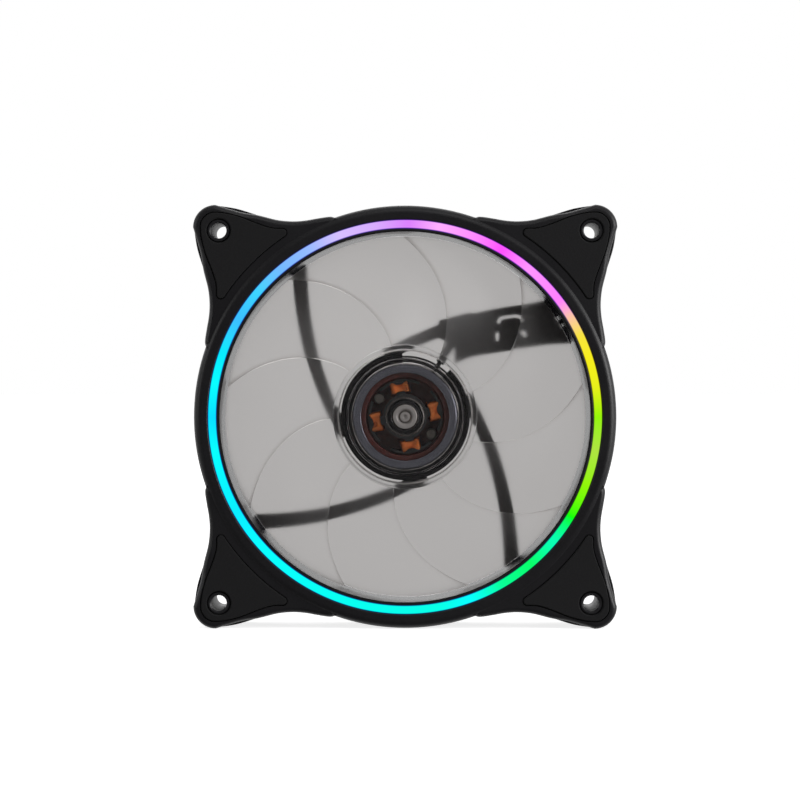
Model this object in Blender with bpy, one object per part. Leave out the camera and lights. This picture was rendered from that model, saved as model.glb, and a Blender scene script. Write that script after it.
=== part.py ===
"""Case fan, 120 mm class: moulded frame, lit ring, clear impeller and brushless motor.

World axes: X to the right, Z up, the lit face towards -Y.  The origin lies under the middle of the
frame, on the surface that the fan stands on.  Every piece is drawn lying on its back, with the
fan's axis along its local +Z and the back face at local z = 0.  Two parents stand the fan up:
"stand" carries what is fixed, and "spindle", on the axis, carries what turns.
"""
import bmesh
import bpy
from math import asin, cos, pi, radians, sin, sqrt, tan
from mathutils import Matrix, Vector

MM = 0.001

# ---------------------------------------------------------------- driving dimensions
FRAME_WIDTH = 119.6 * MM
FRAME_DEPTH = 25.0 * MM
FIT_GAP = 0.3 * MM              # between pieces that touch
CUT_PAST = 1.0 * MM             # how far cutters reach past what they cut
RUNNING_GAP = 0.5 * MM          # between hub and motor base

# mounting ears, one at each corner
HOLE_INSET = 7.3 * MM           # hole centre from the frame's side
HOLE_RADIUS = 2.2 * MM
EAR_CORNER = 6.3 * MM           # radius of the ear's corner
EAR_FACE_DROP = 0.6 * MM        # ear face behind the ring's crest
EAR_THICK = 4.5 * MM
COLUMN_RADIUS = 5.0 * MM
WEB_THICK = 2.0 * MM
EAR_TAIL_ANGLE = 18.6           # where an ear's tail starts, inside the ring's surface
EAR_TAIL_SINK = 1.15 * MM
# one side of an ear, from its tail to its corner: angle about the fan's axis, inset
EAR_SIDE = ((19.7, 3.50 * MM), (21.0, 3.36 * MM), (24.0, 3.85 * MM), (27.0, 4.42 * MM),
            (30.0, 4.64 * MM), (33.0, 4.24 * MM))
HOUSING_FLANK = ((36.0, 2.82 * MM), (39.0, 0.91 * MM))
BEZEL_FLANK = ((36.0, 2.95 * MM), (38.4, 2.25 * MM), (40.2, 1.20 * MM))
EAR_EDGE_ROUND = 1.5 * MM
EAR_ROOT = 0.6 * MM             # how far inside the ring's wall the ears start

# ring, duct and light channel, from the outside in
RING_INSET = 0.2 * MM           # ring behind the frame's side
RING_ROUND = 2.2 * MM
BEZEL_RIM = 4.0 * MM
DIFFUSER_WIDTH = 1.9 * MM
DUCT_LIP = 0.9 * MM
BARREL_WALL = 2.5 * MM
REAR_FLANGE = 3.0 * MM
DUCT_CHAMFER = 0.8 * MM
CHANNEL_WALL = 2.0 * MM
CHANNEL_FLOOR = 1.5 * MM
BEZEL_DEPTH = 4.7 * MM
CHANNEL_DEPTH = 4.5 * MM        # from the floor to the housing's front
LED_BOARD_THICK = 1.2 * MM
LED_COUNT = 12
LED_SIZE = (2.8 * MM, 3.5 * MM, 1.4 * MM)
DIFFUSER_FOOT = 0.8 * MM
DIFFUSER_RECESS = 0.2 * MM

# soft pads in the ears
PAD_THICK = 1.2 * MM
PAD_STAND = 0.1 * MM            # pad above the ear's face
PAD_HOLE = 3.4 * MM
BOSS_RADIUS = 3.0 * MM
PAD_INNER_GAP = 1.6 * MM        # from the ring to the pad's inner edge
PAD_TIP_ANGLE = 33.6            # centre of a pad's rounded tip
PAD_TIP_ROUND = 1.1 * MM
PAD_CORNER = 4.2 * MM
PAD_CORNER_INSET = 2.2 * MM
PAD_SIDE = ((35.2, 6.7 * MM), (37.3, 5.5 * MM), (39.6, 3.5 * MM), (41.8, 2.4 * MM))

# motor base, struts and lead trough
BASE_RADIUS = 18.6 * MM
BASE_BACK = 0.8 * MM
BASE_THICK = 2.0 * MM
BASE_RIM = 1.0 * MM
BASE_RIM_TOP = 5.4 * MM
WINDOW_RADIUS = 15.4 * MM
WINDOW_ANGLES = (46.0, 93.0)
STRUT_COUNT = 4
STRUT_OUTER_ANGLE = 35.3        # where the first strut meets the duct
STRUT_SWEEP = 73.5              # from its outer to its inner end
STRUT_BEND = 96.0 * MM
STRUT_WIDTHS = (3.3 * MM, 4.3 * MM)
STRUT_BACK = 0.8 * MM
STRUT_FRONT = 5.2 * MM
STRUT_ROUND = 0.8 * MM
STRUT_STEPS = 8
TROUGH_FLOOR = 1.2 * MM
TROUGH_WALL = 1.2 * MM
# trough outline: angle about the fan's axis, share of the way from the motor base to the duct
TROUGH_TOP = ((70.7, 0.315), (64.1, 0.392), (58.4, 0.483), (54.0, 0.543), (45.6, 0.752))
TROUGH_BOTTOM = ((29.1, 0.691), (34.8, 0.415), (42.0, 0.197), (46.3, 0.063))
TROUGH_END_ANGLES = (23.2, 39.1)
TROUGH_INNER_SHARE = 0.170      # its edge that faces the hub
BRIDGE_ANGLE = 57.0
BRIDGE_WIDTH = 2.4 * MM
BRIDGE_THICK = 1.4 * MM
CLIP_ANGLE = 40.3               # centre of the lead clip's slots
CLIP_SHARE = 0.655
# slots of the lead clip: width, height, right of its centre, above its centre, angle
CLIP_SLOTS = {"arch_top": (4.9 * MM, 0.9 * MM, -0.9 * MM, 2.4 * MM, 2),
              "arch_left": (0.9 * MM, 2.2 * MM, -4.0 * MM, 1.3 * MM, -25),
              "arch_right": (0.9 * MM, 2.0 * MM, 1.9 * MM, 1.6 * MM, 25),
              "tab_left": (1.0 * MM, 2.6 * MM, -4.4 * MM, -3.4 * MM, 0),
              "tab_right": (1.3 * MM, 1.8 * MM, 3.2 * MM, -2.6 * MM, 35)}
OUTLET_ANGLE = 31.4
OUTLET_WIDTH = 3.4 * MM
OUTLET_TOP = 5.4 * MM

# bearing and shaft
SHAFT_RADIUS = 1.5 * MM
SHAFT_CLEARANCE = 0.06 * MM
SHAFT_BACK = 2.2 * MM
GROOVE_DEPTH = 0.4 * MM
GROOVE_WIDTH = 1.0 * MM
GROOVE_BACK = 3.0 * MM
CLIP_THICK = 0.4 * MM
CLIP_OUTER = 3.0 * MM
BEARING_WALL = 1.7 * MM
BEARING_BACK = 4.5 * MM
BEARING_LENGTH = 12.0 * MM
TUBE_WALL = 1.05 * MM
TUBE_TOP = 17.0 * MM
BUSH_RADIUS = 3.4 * MM
BUSH_BACK = 17.4 * MM
THRUST_CAP_THICK = 1.0 * MM
LABEL_THICK = 0.2 * MM

# motor board
BOARD_RADIUS = 14.2 * MM
BOARD_BACK = 3.6 * MM
BOARD_THICK = 1.2 * MM
CHIP_RING = 12.4 * MM           # radius that the chips stand on
# name, angle, radial size, size along the circle, height
CHIPS = (("hall_sensor", 55.5, 2.6 * MM, 3.6 * MM, 0.9 * MM),
         ("driver_chip", 235.5, 2.6 * MM, 4.2 * MM, 1.0 * MM),
         ("filter_capacitor", 300.0, 1.3 * MM, 2.2 * MM, 0.9 * MM))

# stator
POLE_COUNT = 4
POLE_ANGLE = 10.5
CORE_BACK = 8.0 * MM
CORE_HEIGHT = 6.0 * MM
CORE_RING = 1.4 * MM
POLE_WIDTH = 2.4 * MM
SHOE_RADIUS = 10.6 * MM
SHOE_THICK = 0.7 * MM
SHOE_HALF_ANGLE = 34.0
INSULATOR_THICK = 0.8 * MM
INSULATOR_WALL = 1.5 * MM       # how far its inner wall stands above it
COIL_THICK = 1.05 * MM
COIL_ROUND = 0.9 * MM
POST_RADIUS = 1.5 * MM
POST_RING = 9.0 * MM
POST_ANGLES = (145.5, 325.5)
POST_TOP = 13.5 * MM

# rotor
MAGNET_AIR_GAP = 0.5 * MM
MAGNET_THICK = 2.7 * MM
MAGNET_BACK = 7.2 * MM
MAGNET_LENGTH = 9.8 * MM
YOKE_WALL = 0.8 * MM
YOKE_BACK = 6.6 * MM
YOKE_FRONT = 19.8 * MM
YOKE_OPENING = 12.4 * MM
HUB_FRONT = 21.8 * MM
HUB_BACK = 6.4 * MM
HUB_PLATE = 1.6 * MM
HUB_WALL = 1.3 * MM
HUB_ROUND = 1.2 * MM
SLEEVE_WALL = 1.2 * MM
SLEEVE_BACK = 9.0 * MM
BUSH_BOSS_WALL = 1.6 * MM
BLADE_COUNT = 9
TIP_GAP = 0.9 * MM
BLADE_THICK = 1.2 * MM
BLADE_ROOT = (7.6 * MM, 20.6 * MM)      # trailing and leading edge, along the axis
BLADE_TIP = (9.2 * MM, 20.2 * MM)
BLADE_COVER = 0.985             # share of its pitch that a blade fills
BLADE_SWEEP = 30.0
BLADE_SWEEP_POWER = 1.4         # above 1 the sweep grows towards the tip
BLADE_CAMBER = 1.1 * MM

# lead from the motor board to the light ring
LEAD_RADIUS = 0.8 * MM
LEAD_BEND = (52.0, 0.318)       # where it turns in the trough: angle, share of the way out
LEAD_EXIT = (OUTLET_ANGLE, 0.911)

RING_SEGMENTS = 64
PART_SEGMENTS = 32
SMALL_SEGMENTS = 24
HOLE_SEGMENTS = 16

# ---------------------------------------------------------------- sizes that follow
HALF = FRAME_WIDTH / 2
HOLE_AT = HALF - HOLE_INSET
RING_RADIUS = HALF - RING_INSET
BEZEL_INNER = RING_RADIUS - BEZEL_RIM
DIFFUSER_OUTER = BEZEL_INNER - FIT_GAP
DIFFUSER_INNER = DIFFUSER_OUTER - DIFFUSER_WIDTH
DUCT_RADIUS = DIFFUSER_INNER - FIT_GAP - DUCT_LIP
EAR_FACE = FRAME_DEPTH - EAR_FACE_DROP
BEZEL_BACK = FRAME_DEPTH - BEZEL_DEPTH
HOUSING_FRONT = BEZEL_BACK - FIT_GAP
CHANNEL_BACK = HOUSING_FRONT - CHANNEL_DEPTH
CHANNEL_OUTER = RING_RADIUS - CHANNEL_WALL
BOARD_RING_BACK = CHANNEL_BACK + FIT_GAP
LED_BACK = BOARD_RING_BACK + LED_BOARD_THICK + FIT_GAP
HUB_RADIUS = BASE_RADIUS + RUNNING_GAP + HUB_WALL
BASE_FRONT = BASE_BACK + BASE_THICK
BORE_RADIUS = SHAFT_RADIUS + SHAFT_CLEARANCE
BEARING_RADIUS = BORE_RADIUS + BEARING_WALL
TUBE_INNER = BEARING_RADIUS + FIT_GAP
TUBE_OUTER = TUBE_INNER + TUBE_WALL
CORE_BORE = TUBE_OUTER + FIT_GAP
CORE_FRONT = CORE_BACK + CORE_HEIGHT
SHOE_INNER = SHOE_RADIUS - SHOE_THICK
INSULATOR_GAPS = FIT_GAP + INSULATOR_THICK
MAGNET_INNER = SHOE_RADIUS + MAGNET_AIR_GAP
MAGNET_OUTER = MAGNET_INNER + MAGNET_THICK
YOKE_INNER = MAGNET_OUTER + FIT_GAP
YOKE_OUTER = YOKE_INNER + YOKE_WALL
SLEEVE_INNER = YOKE_OUTER + FIT_GAP
TIP_RADIUS = DUCT_RADIUS - TIP_GAP
TROUGH_INNER = BASE_RADIUS + TROUGH_INNER_SHARE * (DUCT_RADIUS - BASE_RADIUS)
BUSH_HOLE = BUSH_RADIUS + FIT_GAP

# ---------------------------------------------------------------- shape helpers


def polar(angle, radius):
    """The point at an angle in degrees and a distance from the axis."""
    return Vector((radius * cos(radians(angle)), radius * sin(radians(angle))))


def trough_point(angle, share):
    """The point at an angle, a share of the way from the motor base to the duct."""
    return polar(angle, BASE_RADIUS + share * (DUCT_RADIUS - BASE_RADIUS))


def side_point(angle, inset):
    """The point at an angle from the axis, inset from the frame's right side."""
    x = HALF - inset
    return Vector((x, x * tan(radians(angle))))


def smooth_through(points, steps):
    """A Catmull-Rom curve through the points, with this many steps for each stretch."""
    ends = [points[0] * 2 - points[1]] + list(points) + [points[-1] * 2 - points[-2]]
    curve = []
    for a, b, c, d in zip(ends, ends[1:], ends[2:], ends[3:]):
        for step in range(steps):
            t = step / steps
            curve.append(0.5 * (2 * b + (c - a) * t + (2 * a - 5 * b + 4 * c - d) * t * t
                                + (3 * b - a - 3 * c + d) * t ** 3))
    return curve + [points[-1].copy()]


def arc(centre, radius, start, end, steps):
    """Points along an arc, both ends included."""
    return [centre + polar(start + (end - start) * i / steps, radius) for i in range(steps + 1)]


def finish(name, mesh_data, material, parent):
    """An object of the bmesh's shape, shaded smooth up to 35 degrees."""
    bmesh.ops.recalc_face_normals(mesh_data, faces=mesh_data.faces)
    mesh = bpy.data.meshes.new(name)
    mesh_data.to_mesh(mesh)
    mesh_data.free()
    mesh.shade_smooth()
    mesh.set_sharp_from_angle(angle=radians(35))
    mesh.materials.append(material)
    piece = bpy.data.objects.new(name, mesh)
    piece.parent = parent
    bpy.context.scene.collection.objects.link(piece)
    return piece


def turned(name, profile, segments, material, parent):
    """A ring turned from a closed profile of (radius, height) points."""
    shape = bmesh.new()
    points = [shape.verts.new((radius, 0, height)) for radius, height in profile]
    edges = [shape.edges.new(pair) for pair in zip(points, points[1:] + points[:1])]
    bmesh.ops.spin(shape, geom=points + edges, axis=(0, 0, 1), cent=(0, 0, 0), angle=2 * pi,
                   steps=segments, use_merge=True)
    return finish(name, shape, material, parent)


def washer(name, inner, outer, back, front, segments, material, parent):
    """A plain ring of rectangular section."""
    profile = ((inner, back), (outer, back), (outer, front), (inner, front))
    return turned(name, profile, segments, material, parent)


def extruded(shape, outline, back, front):
    """A prism of the outline in an open bmesh; returns its front face."""
    face = shape.faces.new([shape.verts.new((x, y, back)) for x, y in outline])
    grown = bmesh.ops.extrude_face_region(shape, geom=[face])["geom"]
    moved = [item for item in grown if isinstance(item, bmesh.types.BMVert)]
    bmesh.ops.translate(shape, verts=moved, vec=(0, 0, front - back))
    return next(item for item in grown if isinstance(item, bmesh.types.BMFace))


def prism(name, outline, back, front, material, parent, rounding=0.0, steps=2):
    """A prism, its front edges rounded where a rounding is given."""
    shape = bmesh.new()
    top = extruded(shape, outline, back, front)
    if rounding:
        bmesh.ops.bevel(shape, geom=list(top.edges), offset=rounding, segments=steps,
                        profile=0.5, affect="EDGES", material=-1)
    return finish(name, shape, material, parent)


def rod(name, radius, back, front, segments, material, parent, centre=(0, 0)):
    """A plain cylinder along the axis."""
    shape = bmesh.new()
    place = Matrix.Translation((centre[0], centre[1], (back + front) / 2))
    bmesh.ops.create_cone(shape, cap_ends=True, segments=segments, radius1=radius,
                          radius2=radius, depth=front - back, matrix=place)
    return finish(name, shape, material, parent)


def block(name, size, centre, angle, material, parent):
    """A box of a size, turned about the fan's axis by an angle in degrees."""
    shape = bmesh.new()
    bmesh.ops.create_cube(shape, size=1.0, matrix=Matrix.Diagonal((*size, 1.0)))
    bmesh.ops.rotate(shape, verts=shape.verts, cent=(0, 0, 0),
                     matrix=Matrix.Rotation(radians(angle), 3, "Z"))
    bmesh.ops.translate(shape, verts=shape.verts, vec=centre)
    return finish(name, shape, material, parent)


def offset_outline(outline, distance):
    """A counter-clockwise outline, moved outwards by a distance."""
    moved = []
    for before, point, after in zip(outline[-1:] + outline[:-1], outline, outline[1:] + outline[:1]):
        first = (point - before).normalized()
        second = (after - point).normalized()
        outwards = Vector((first.y + second.y, -first.x - second.x))
        moved.append(point + outwards * (distance / (1 + first.dot(second))))
    return moved


def turn_outline(outline, angle):
    """The outline turned about the fan's axis."""
    turn = Matrix.Rotation(radians(angle), 2)
    return [turn @ point for point in outline]


def combine(target, operation, tools):
    """Boolean the tools with the target and hide them as cutters and guides."""
    for tool in tools:
        modifier = target.modifiers.new(tool.name, "BOOLEAN")
        modifier.operation = operation
        modifier.solver = "EXACT"
        modifier.object = tool
        tool.hide_render = True
        tool.display_type = "WIRE"


def make_material(name, colour, roughness, metallic=0.0, alpha=1.0):
    """A Principled material; the colour is linear RGB."""
    material = bpy.data.materials.new(name)
    material.use_nodes = True
    shader = material.node_tree.nodes["Principled BSDF"]
    shader.inputs["Base Color"].default_value = (*colour, 1.0)
    shader.inputs["Roughness"].default_value = roughness
    shader.inputs["Metallic"].default_value = metallic
    shader.inputs["Alpha"].default_value = alpha
    material.diffuse_color = (*colour, alpha)
    return material


# ---------------------------------------------------------------- outlines


def ear_outline(flank, closing_radius):
    """An ear of the upper right corner, closed by an arc inside the ring."""
    side = [polar(EAR_TAIL_ANGLE, RING_RADIUS - EAR_TAIL_SINK)]
    side += [side_point(angle, inset) for angle, inset in EAR_SIDE + flank]
    centre = Vector((HALF - EAR_CORNER, HALF - EAR_CORNER))
    corner = arc(centre, EAR_CORNER, 0, 90, 6)
    mirrored = [Vector((y, x)) for x, y in reversed(side)]
    closing = arc(Vector((0, 0)), closing_radius, 90 - EAR_TAIL_ANGLE, EAR_TAIL_ANGLE, 8)
    return side + corner + mirrored + closing


def pad_outline(grow):
    """A pad of the upper right ear, grown all round by a margin."""
    inner_radius = RING_RADIUS + PAD_INNER_GAP
    tip_centre = polar(PAD_TIP_ANGLE, inner_radius + PAD_TIP_ROUND)
    tip = arc(tip_centre, PAD_TIP_ROUND, PAD_TIP_ANGLE + 180, 350, 3)
    corner_centre = Vector((HALF - PAD_CORNER_INSET - PAD_CORNER,) * 2)
    corner = arc(corner_centre, PAD_CORNER, 12, 78, 4)
    knots = [side_point(angle, inset) for angle, inset in PAD_SIDE]
    side = tip + knots
    mirrored = [Vector((y, x)) for x, y in reversed(side)]
    inner = arc(Vector((0, 0)), inner_radius, 90 - PAD_TIP_ANGLE, PAD_TIP_ANGLE, 6)[1:-1]
    return offset_outline(side + corner + mirrored + inner, grow)


def strut_centre_line(angle):
    """The arc of a strut, from the motor base to the duct wall."""
    outer = polar(angle, DUCT_RADIUS + DUCT_LIP / 2)
    inner = polar(angle + STRUT_SWEEP, BASE_RADIUS - BASE_RIM / 2)
    chord = outer - inner
    along = chord.normalized()
    across = Vector((-along.y, along.x))
    rise = sqrt(STRUT_BEND ** 2 - (chord.length / 2) ** 2)
    centre = (inner + outer) / 2 - across * rise
    half_turn = asin(chord.length / 2 / STRUT_BEND)
    line = []
    for step in range(STRUT_STEPS + 1):
        turn = half_turn * (1 - 2 * step / STRUT_STEPS)
        line.append(centre + STRUT_BEND * (across * cos(turn) - along * sin(turn)))
    return line


def strut_outline(angle):
    """Both sides of a strut, which widens outwards."""
    line = strut_centre_line(angle)
    left = []
    right = []
    for number, point in enumerate(line):
        before = line[max(number - 1, 0)]
        after = line[min(number + 1, len(line) - 1)]
        along = (after - before).normalized()
        share = number / (len(line) - 1)
        half_width = (STRUT_WIDTHS[0] * (1 - share) + STRUT_WIDTHS[1] * share) / 2
        across = Vector((-along.y, along.x)) * half_width
        left.append(point + across)
        right.append(point - across)
    return right + left[::-1]


def trough_outline():
    """The lead trough: straight sides out to the duct, an arc that faces the hub."""
    reach = DUCT_RADIUS + DUCT_LIP / 2
    bottom = [trough_point(*knot) for knot in reversed(TROUGH_BOTTOM)]
    end = arc(Vector((0, 0)), reach, *TROUGH_END_ANGLES, 5)
    top = [trough_point(*knot) for knot in reversed(TROUGH_TOP)]
    hub_side = arc(Vector((0, 0)), TROUGH_INNER, TROUGH_TOP[0][0], BRIDGE_ANGLE - 3, 4)
    return bottom + end + top + hub_side


# ---------------------------------------------------------------- fixed pieces


def ring_profile():
    """Section of the frame's duct, rear flange and light channel."""
    barrel = DUCT_RADIUS + BARREL_WALL
    lip = DUCT_RADIUS + DUCT_LIP
    floor = CHANNEL_BACK - CHANNEL_FLOOR
    return ((DUCT_RADIUS, DUCT_CHAMFER), (DUCT_RADIUS + DUCT_CHAMFER, 0), (RING_RADIUS, 0),
            (RING_RADIUS, REAR_FLANGE), (barrel, REAR_FLANGE), (barrel, floor - BARREL_WALL),
            (RING_RADIUS, floor), (RING_RADIUS, HOUSING_FRONT), (CHANNEL_OUTER, HOUSING_FRONT),
            (CHANNEL_OUTER, CHANNEL_BACK), (lip, CHANNEL_BACK), (lip, FRAME_DEPTH),
            (DUCT_RADIUS, FRAME_DEPTH))


def corner_pieces(material, stand):
    """What the frame has at each corner: two flanges, a screw column and its web."""
    pieces = []
    middles = (EAR_THICK / 2, HOUSING_FRONT - EAR_THICK / 2)
    rear = ear_outline(HOUSING_FLANK, DUCT_RADIUS + BARREL_WALL / 2)
    front = ear_outline(HOUSING_FLANK, CHANNEL_OUTER + EAR_ROOT)
    for corner in range(4):
        turn = corner * 90
        pieces.append(prism(f"rear_flange_{corner}", turn_outline(rear, turn), 0, EAR_THICK,
                            material, stand))
        pieces.append(prism(f"front_flange_{corner}", turn_outline(front, turn),
                            HOUSING_FRONT - EAR_THICK, HOUSING_FRONT, material, stand))
        hole = polar(45 + turn, HOLE_AT * sqrt(2))
        pieces.append(rod(f"column_{corner}", COLUMN_RADIUS, *middles, HOLE_SEGMENTS, material,
                          stand, hole))
        pieces.append(corner_web(f"web_{corner}", middles, 45 + turn, material, stand))
    return pieces


def corner_web(name, heights, angle, material, stand):
    """The upright web between duct and screw column, stepped to clear the light channel."""
    duct = DUCT_RADIUS + BARREL_WALL / 2
    channel = CHANNEL_OUTER + EAR_ROOT
    step = CHANNEL_BACK - CHANNEL_FLOOR / 2
    end = HOLE_AT * sqrt(2) - HOLE_RADIUS
    side = ((duct, heights[0]), (end, heights[0]), (end, heights[1]), (channel, heights[1]),
            (channel, step), (duct, step))
    shape = bmesh.new()
    extruded(shape, side, -WEB_THICK / 2, WEB_THICK / 2)
    upright = Matrix.Rotation(radians(angle), 4, "Z") @ Matrix.Rotation(pi / 2, 4, "X")
    bmesh.ops.transform(shape, matrix=upright, verts=shape.verts)
    return finish(name, shape, material, stand)


def motor_base(material, stand):
    """The motor base: a dish with a rim on both sides and the bearing tube."""
    dish = ((TUBE_INNER, BASE_BACK), (BASE_RADIUS - BASE_RIM, BASE_BACK),
            (BASE_RADIUS - BASE_RIM, 0), (BASE_RADIUS, 0), (BASE_RADIUS, BASE_RIM_TOP),
            (BASE_RADIUS - BASE_RIM, BASE_RIM_TOP), (BASE_RADIUS - BASE_RIM, BASE_FRONT),
            (TUBE_OUTER, BASE_FRONT), (TUBE_OUTER, TUBE_TOP), (TUBE_INNER, TUBE_TOP))
    return turned("motor_base", dish, PART_SEGMENTS, material, stand)


def window_cutter(material, stand):
    """The sector that is left open in the base, where the leads come out."""
    start, end = WINDOW_ANGLES
    outer = arc(Vector((0, 0)), BASE_RADIUS + RUNNING_GAP, start, end, 8)
    inner = arc(Vector((0, 0)), WINDOW_RADIUS, end, start, 8)
    return prism("base_window", outer + inner, -CUT_PAST, BASE_RIM_TOP + CUT_PAST, material,
                 stand)


def clip_cutters(material, stand):
    """The lead clip's slots: an arch over the tab and two short slots under it."""
    centre = trough_point(CLIP_ANGLE, CLIP_SHARE)
    cutter_height = STRUT_FRONT + 2 * CUT_PAST
    middle = STRUT_FRONT / 2
    cutters = []
    for name, (width, height, right, up, angle) in CLIP_SLOTS.items():
        cutters.append(block(name, (width, height, cutter_height),
                             (centre.x + right, centre.y + up, middle), angle, material, stand))
    return cutters


def frame_housing(material, stand):
    """The main moulding: duct, ears, struts, motor base, bearing tube and lead trough."""
    housing = turned("frame_housing", ring_profile(), RING_SEGMENTS, material, stand)
    base = motor_base(material, stand)
    combine(base, "DIFFERENCE", [window_cutter(material, stand)])
    struts = []
    for number in range(STRUT_COUNT):
        outline = strut_outline(STRUT_OUTER_ANGLE + number * 360 / STRUT_COUNT)
        struts.append(prism(f"strut_{number}", outline, STRUT_BACK, STRUT_FRONT, material, stand,
                            STRUT_ROUND))
    trough = lead_trough(material, stand)
    bridge_start = BASE_RADIUS - BASE_RIM / 2
    bridge_end = TROUGH_INNER + TROUGH_WALL
    bridge = block("bridge", (bridge_end - bridge_start, BRIDGE_WIDTH, BRIDGE_THICK),
                   (*polar(BRIDGE_ANGLE, (bridge_start + bridge_end) / 2),
                    BASE_RIM_TOP - BRIDGE_THICK / 2), BRIDGE_ANGLE, material, stand)
    combine(housing, "UNION", corner_pieces(material, stand))
    combine(housing, "UNION", [base, *struts, trough, bridge])
    holes = []
    for corner in range(4):
        hole = polar(45 + corner * 90, HOLE_AT * sqrt(2))
        holes.append(rod(f"screw_hole_{corner}", HOLE_RADIUS, -CUT_PAST, FRAME_DEPTH, HOLE_SEGMENTS,
                         material, stand, hole))
    for corner in range(4):
        outline = turn_outline(pad_outline(FIT_GAP), corner * 90)
        holes.append(pad_recess(f"rear_recess_{corner}", outline, -CUT_PAST,
                                PAD_THICK + FIT_GAP, corner * 90, material, stand))
    outlet_start = DUCT_RADIUS - CUT_PAST
    outlet_end = CHANNEL_OUTER
    outlet = block("outlet", (outlet_end - outlet_start, OUTLET_WIDTH, OUTLET_TOP),
                   (*polar(OUTLET_ANGLE, (outlet_start + outlet_end) / 2),
                    OUTLET_TOP / 2 + BASE_BACK), OUTLET_ANGLE, material, stand)
    notch_top = STRUT_FRONT - TROUGH_FLOOR - FIT_GAP
    notch = block("lead_notch", (4 * TROUGH_WALL, 2 * LEAD_RADIUS + 2 * FIT_GAP, notch_top),
                  (*polar(BRIDGE_ANGLE, TROUGH_INNER), notch_top / 2), BRIDGE_ANGLE, material,
                  stand)
    lead_hole = rod("lead_hole", LEAD_RADIUS + 2 * FIT_GAP, CHANNEL_BACK - 3 * CHANNEL_FLOOR,
                    CHANNEL_BACK + CUT_PAST, HOLE_SEGMENTS, material, stand, lead_riser())
    combine(housing, "DIFFERENCE", holes + clip_cutters(material, stand))
    combine(housing, "DIFFERENCE", [outlet, notch, lead_hole])
    return housing


def pad_recess(name, outline, back, front, turn, material, stand):
    """The hollow that a pad lies in, with the boss round the screw hole left standing."""
    recess = prism(name, outline, back, front, material, stand)
    hole = polar(45 + turn, HOLE_AT * sqrt(2))
    boss = rod(f"{name}_boss", BOSS_RADIUS, back - CUT_PAST, front + CUT_PAST, HOLE_SEGMENTS, material,
               stand, hole)
    combine(recess, "DIFFERENCE", [boss])
    return recess


def lead_trough(material, stand):
    """The wide fourth arm: closed in front, open behind, where the leads lie."""
    shape = bmesh.new()
    extruded(shape, trough_outline(), STRUT_BACK, STRUT_FRONT)
    bmesh.ops.recalc_face_normals(shape, faces=shape.faces)
    shape.faces.ensure_lookup_table()
    back = min(shape.faces, key=lambda face: face.calc_center_median().z)
    bmesh.ops.inset_region(shape, faces=[back], thickness=TROUGH_WALL, use_even_offset=True)
    depth = STRUT_FRONT - TROUGH_FLOOR - STRUT_BACK
    bmesh.ops.translate(shape, verts=back.verts, vec=(0, 0, depth))
    return finish("trough", shape, material, stand)


def front_bezel(material, stand):
    """The front cover: the ring outside the light and the four ears with their recesses."""
    round_centre = Vector((RING_RADIUS - RING_ROUND, FRAME_DEPTH - RING_ROUND))
    edge = [tuple(point) for point in arc(round_centre, RING_ROUND, 0, 90, 3)]
    profile = [(BEZEL_INNER, BEZEL_BACK), (RING_RADIUS, BEZEL_BACK), *edge,
               (BEZEL_INNER, FRAME_DEPTH)]
    bezel = turned("front_bezel", profile, RING_SEGMENTS, material, stand)
    outline = ear_outline(BEZEL_FLANK, BEZEL_INNER + EAR_ROOT)
    cutters = []
    for corner in range(4):
        turn = corner * 90
        ear = prism(f"ear_{corner}", turn_outline(outline, turn), BEZEL_BACK, EAR_FACE, material,
                    stand, EAR_EDGE_ROUND)
        combine(bezel, "UNION", [ear])
        recess = turn_outline(pad_outline(FIT_GAP), turn)
        cutters.append(pad_recess(f"front_recess_{corner}", recess,
                                  EAR_FACE - PAD_THICK - FIT_GAP, FRAME_DEPTH + CUT_PAST, turn,
                                  material, stand))
        hole = polar(45 + turn, HOLE_AT * sqrt(2))
        cutters.append(rod(f"bezel_hole_{corner}", HOLE_RADIUS, 0, FRAME_DEPTH + CUT_PAST,
                           HOLE_SEGMENTS, material, stand, hole))
    combine(bezel, "DIFFERENCE", cutters)
    return bezel


def pads(material, stand):
    """Soft pads in the recesses of the ears, four in front and four behind."""
    names = ("top_right", "top_left", "bottom_left", "bottom_right")
    for corner, place in enumerate(names):
        turn = corner * 90
        outline = turn_outline(pad_outline(0), turn)
        hole = polar(45 + turn, HOLE_AT * sqrt(2))
        for side, back in (("front", EAR_FACE - PAD_THICK + PAD_STAND), ("rear", 0)):
            pad = prism(f"{side}_pad_{place}", outline, back, back + PAD_THICK, material, stand)
            bore = rod(f"{side}_pad_hole_{place}", PAD_HOLE, back - CUT_PAST,
                       back + PAD_THICK + CUT_PAST, HOLE_SEGMENTS, material, stand, hole)
            combine(pad, "DIFFERENCE", [bore])


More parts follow.
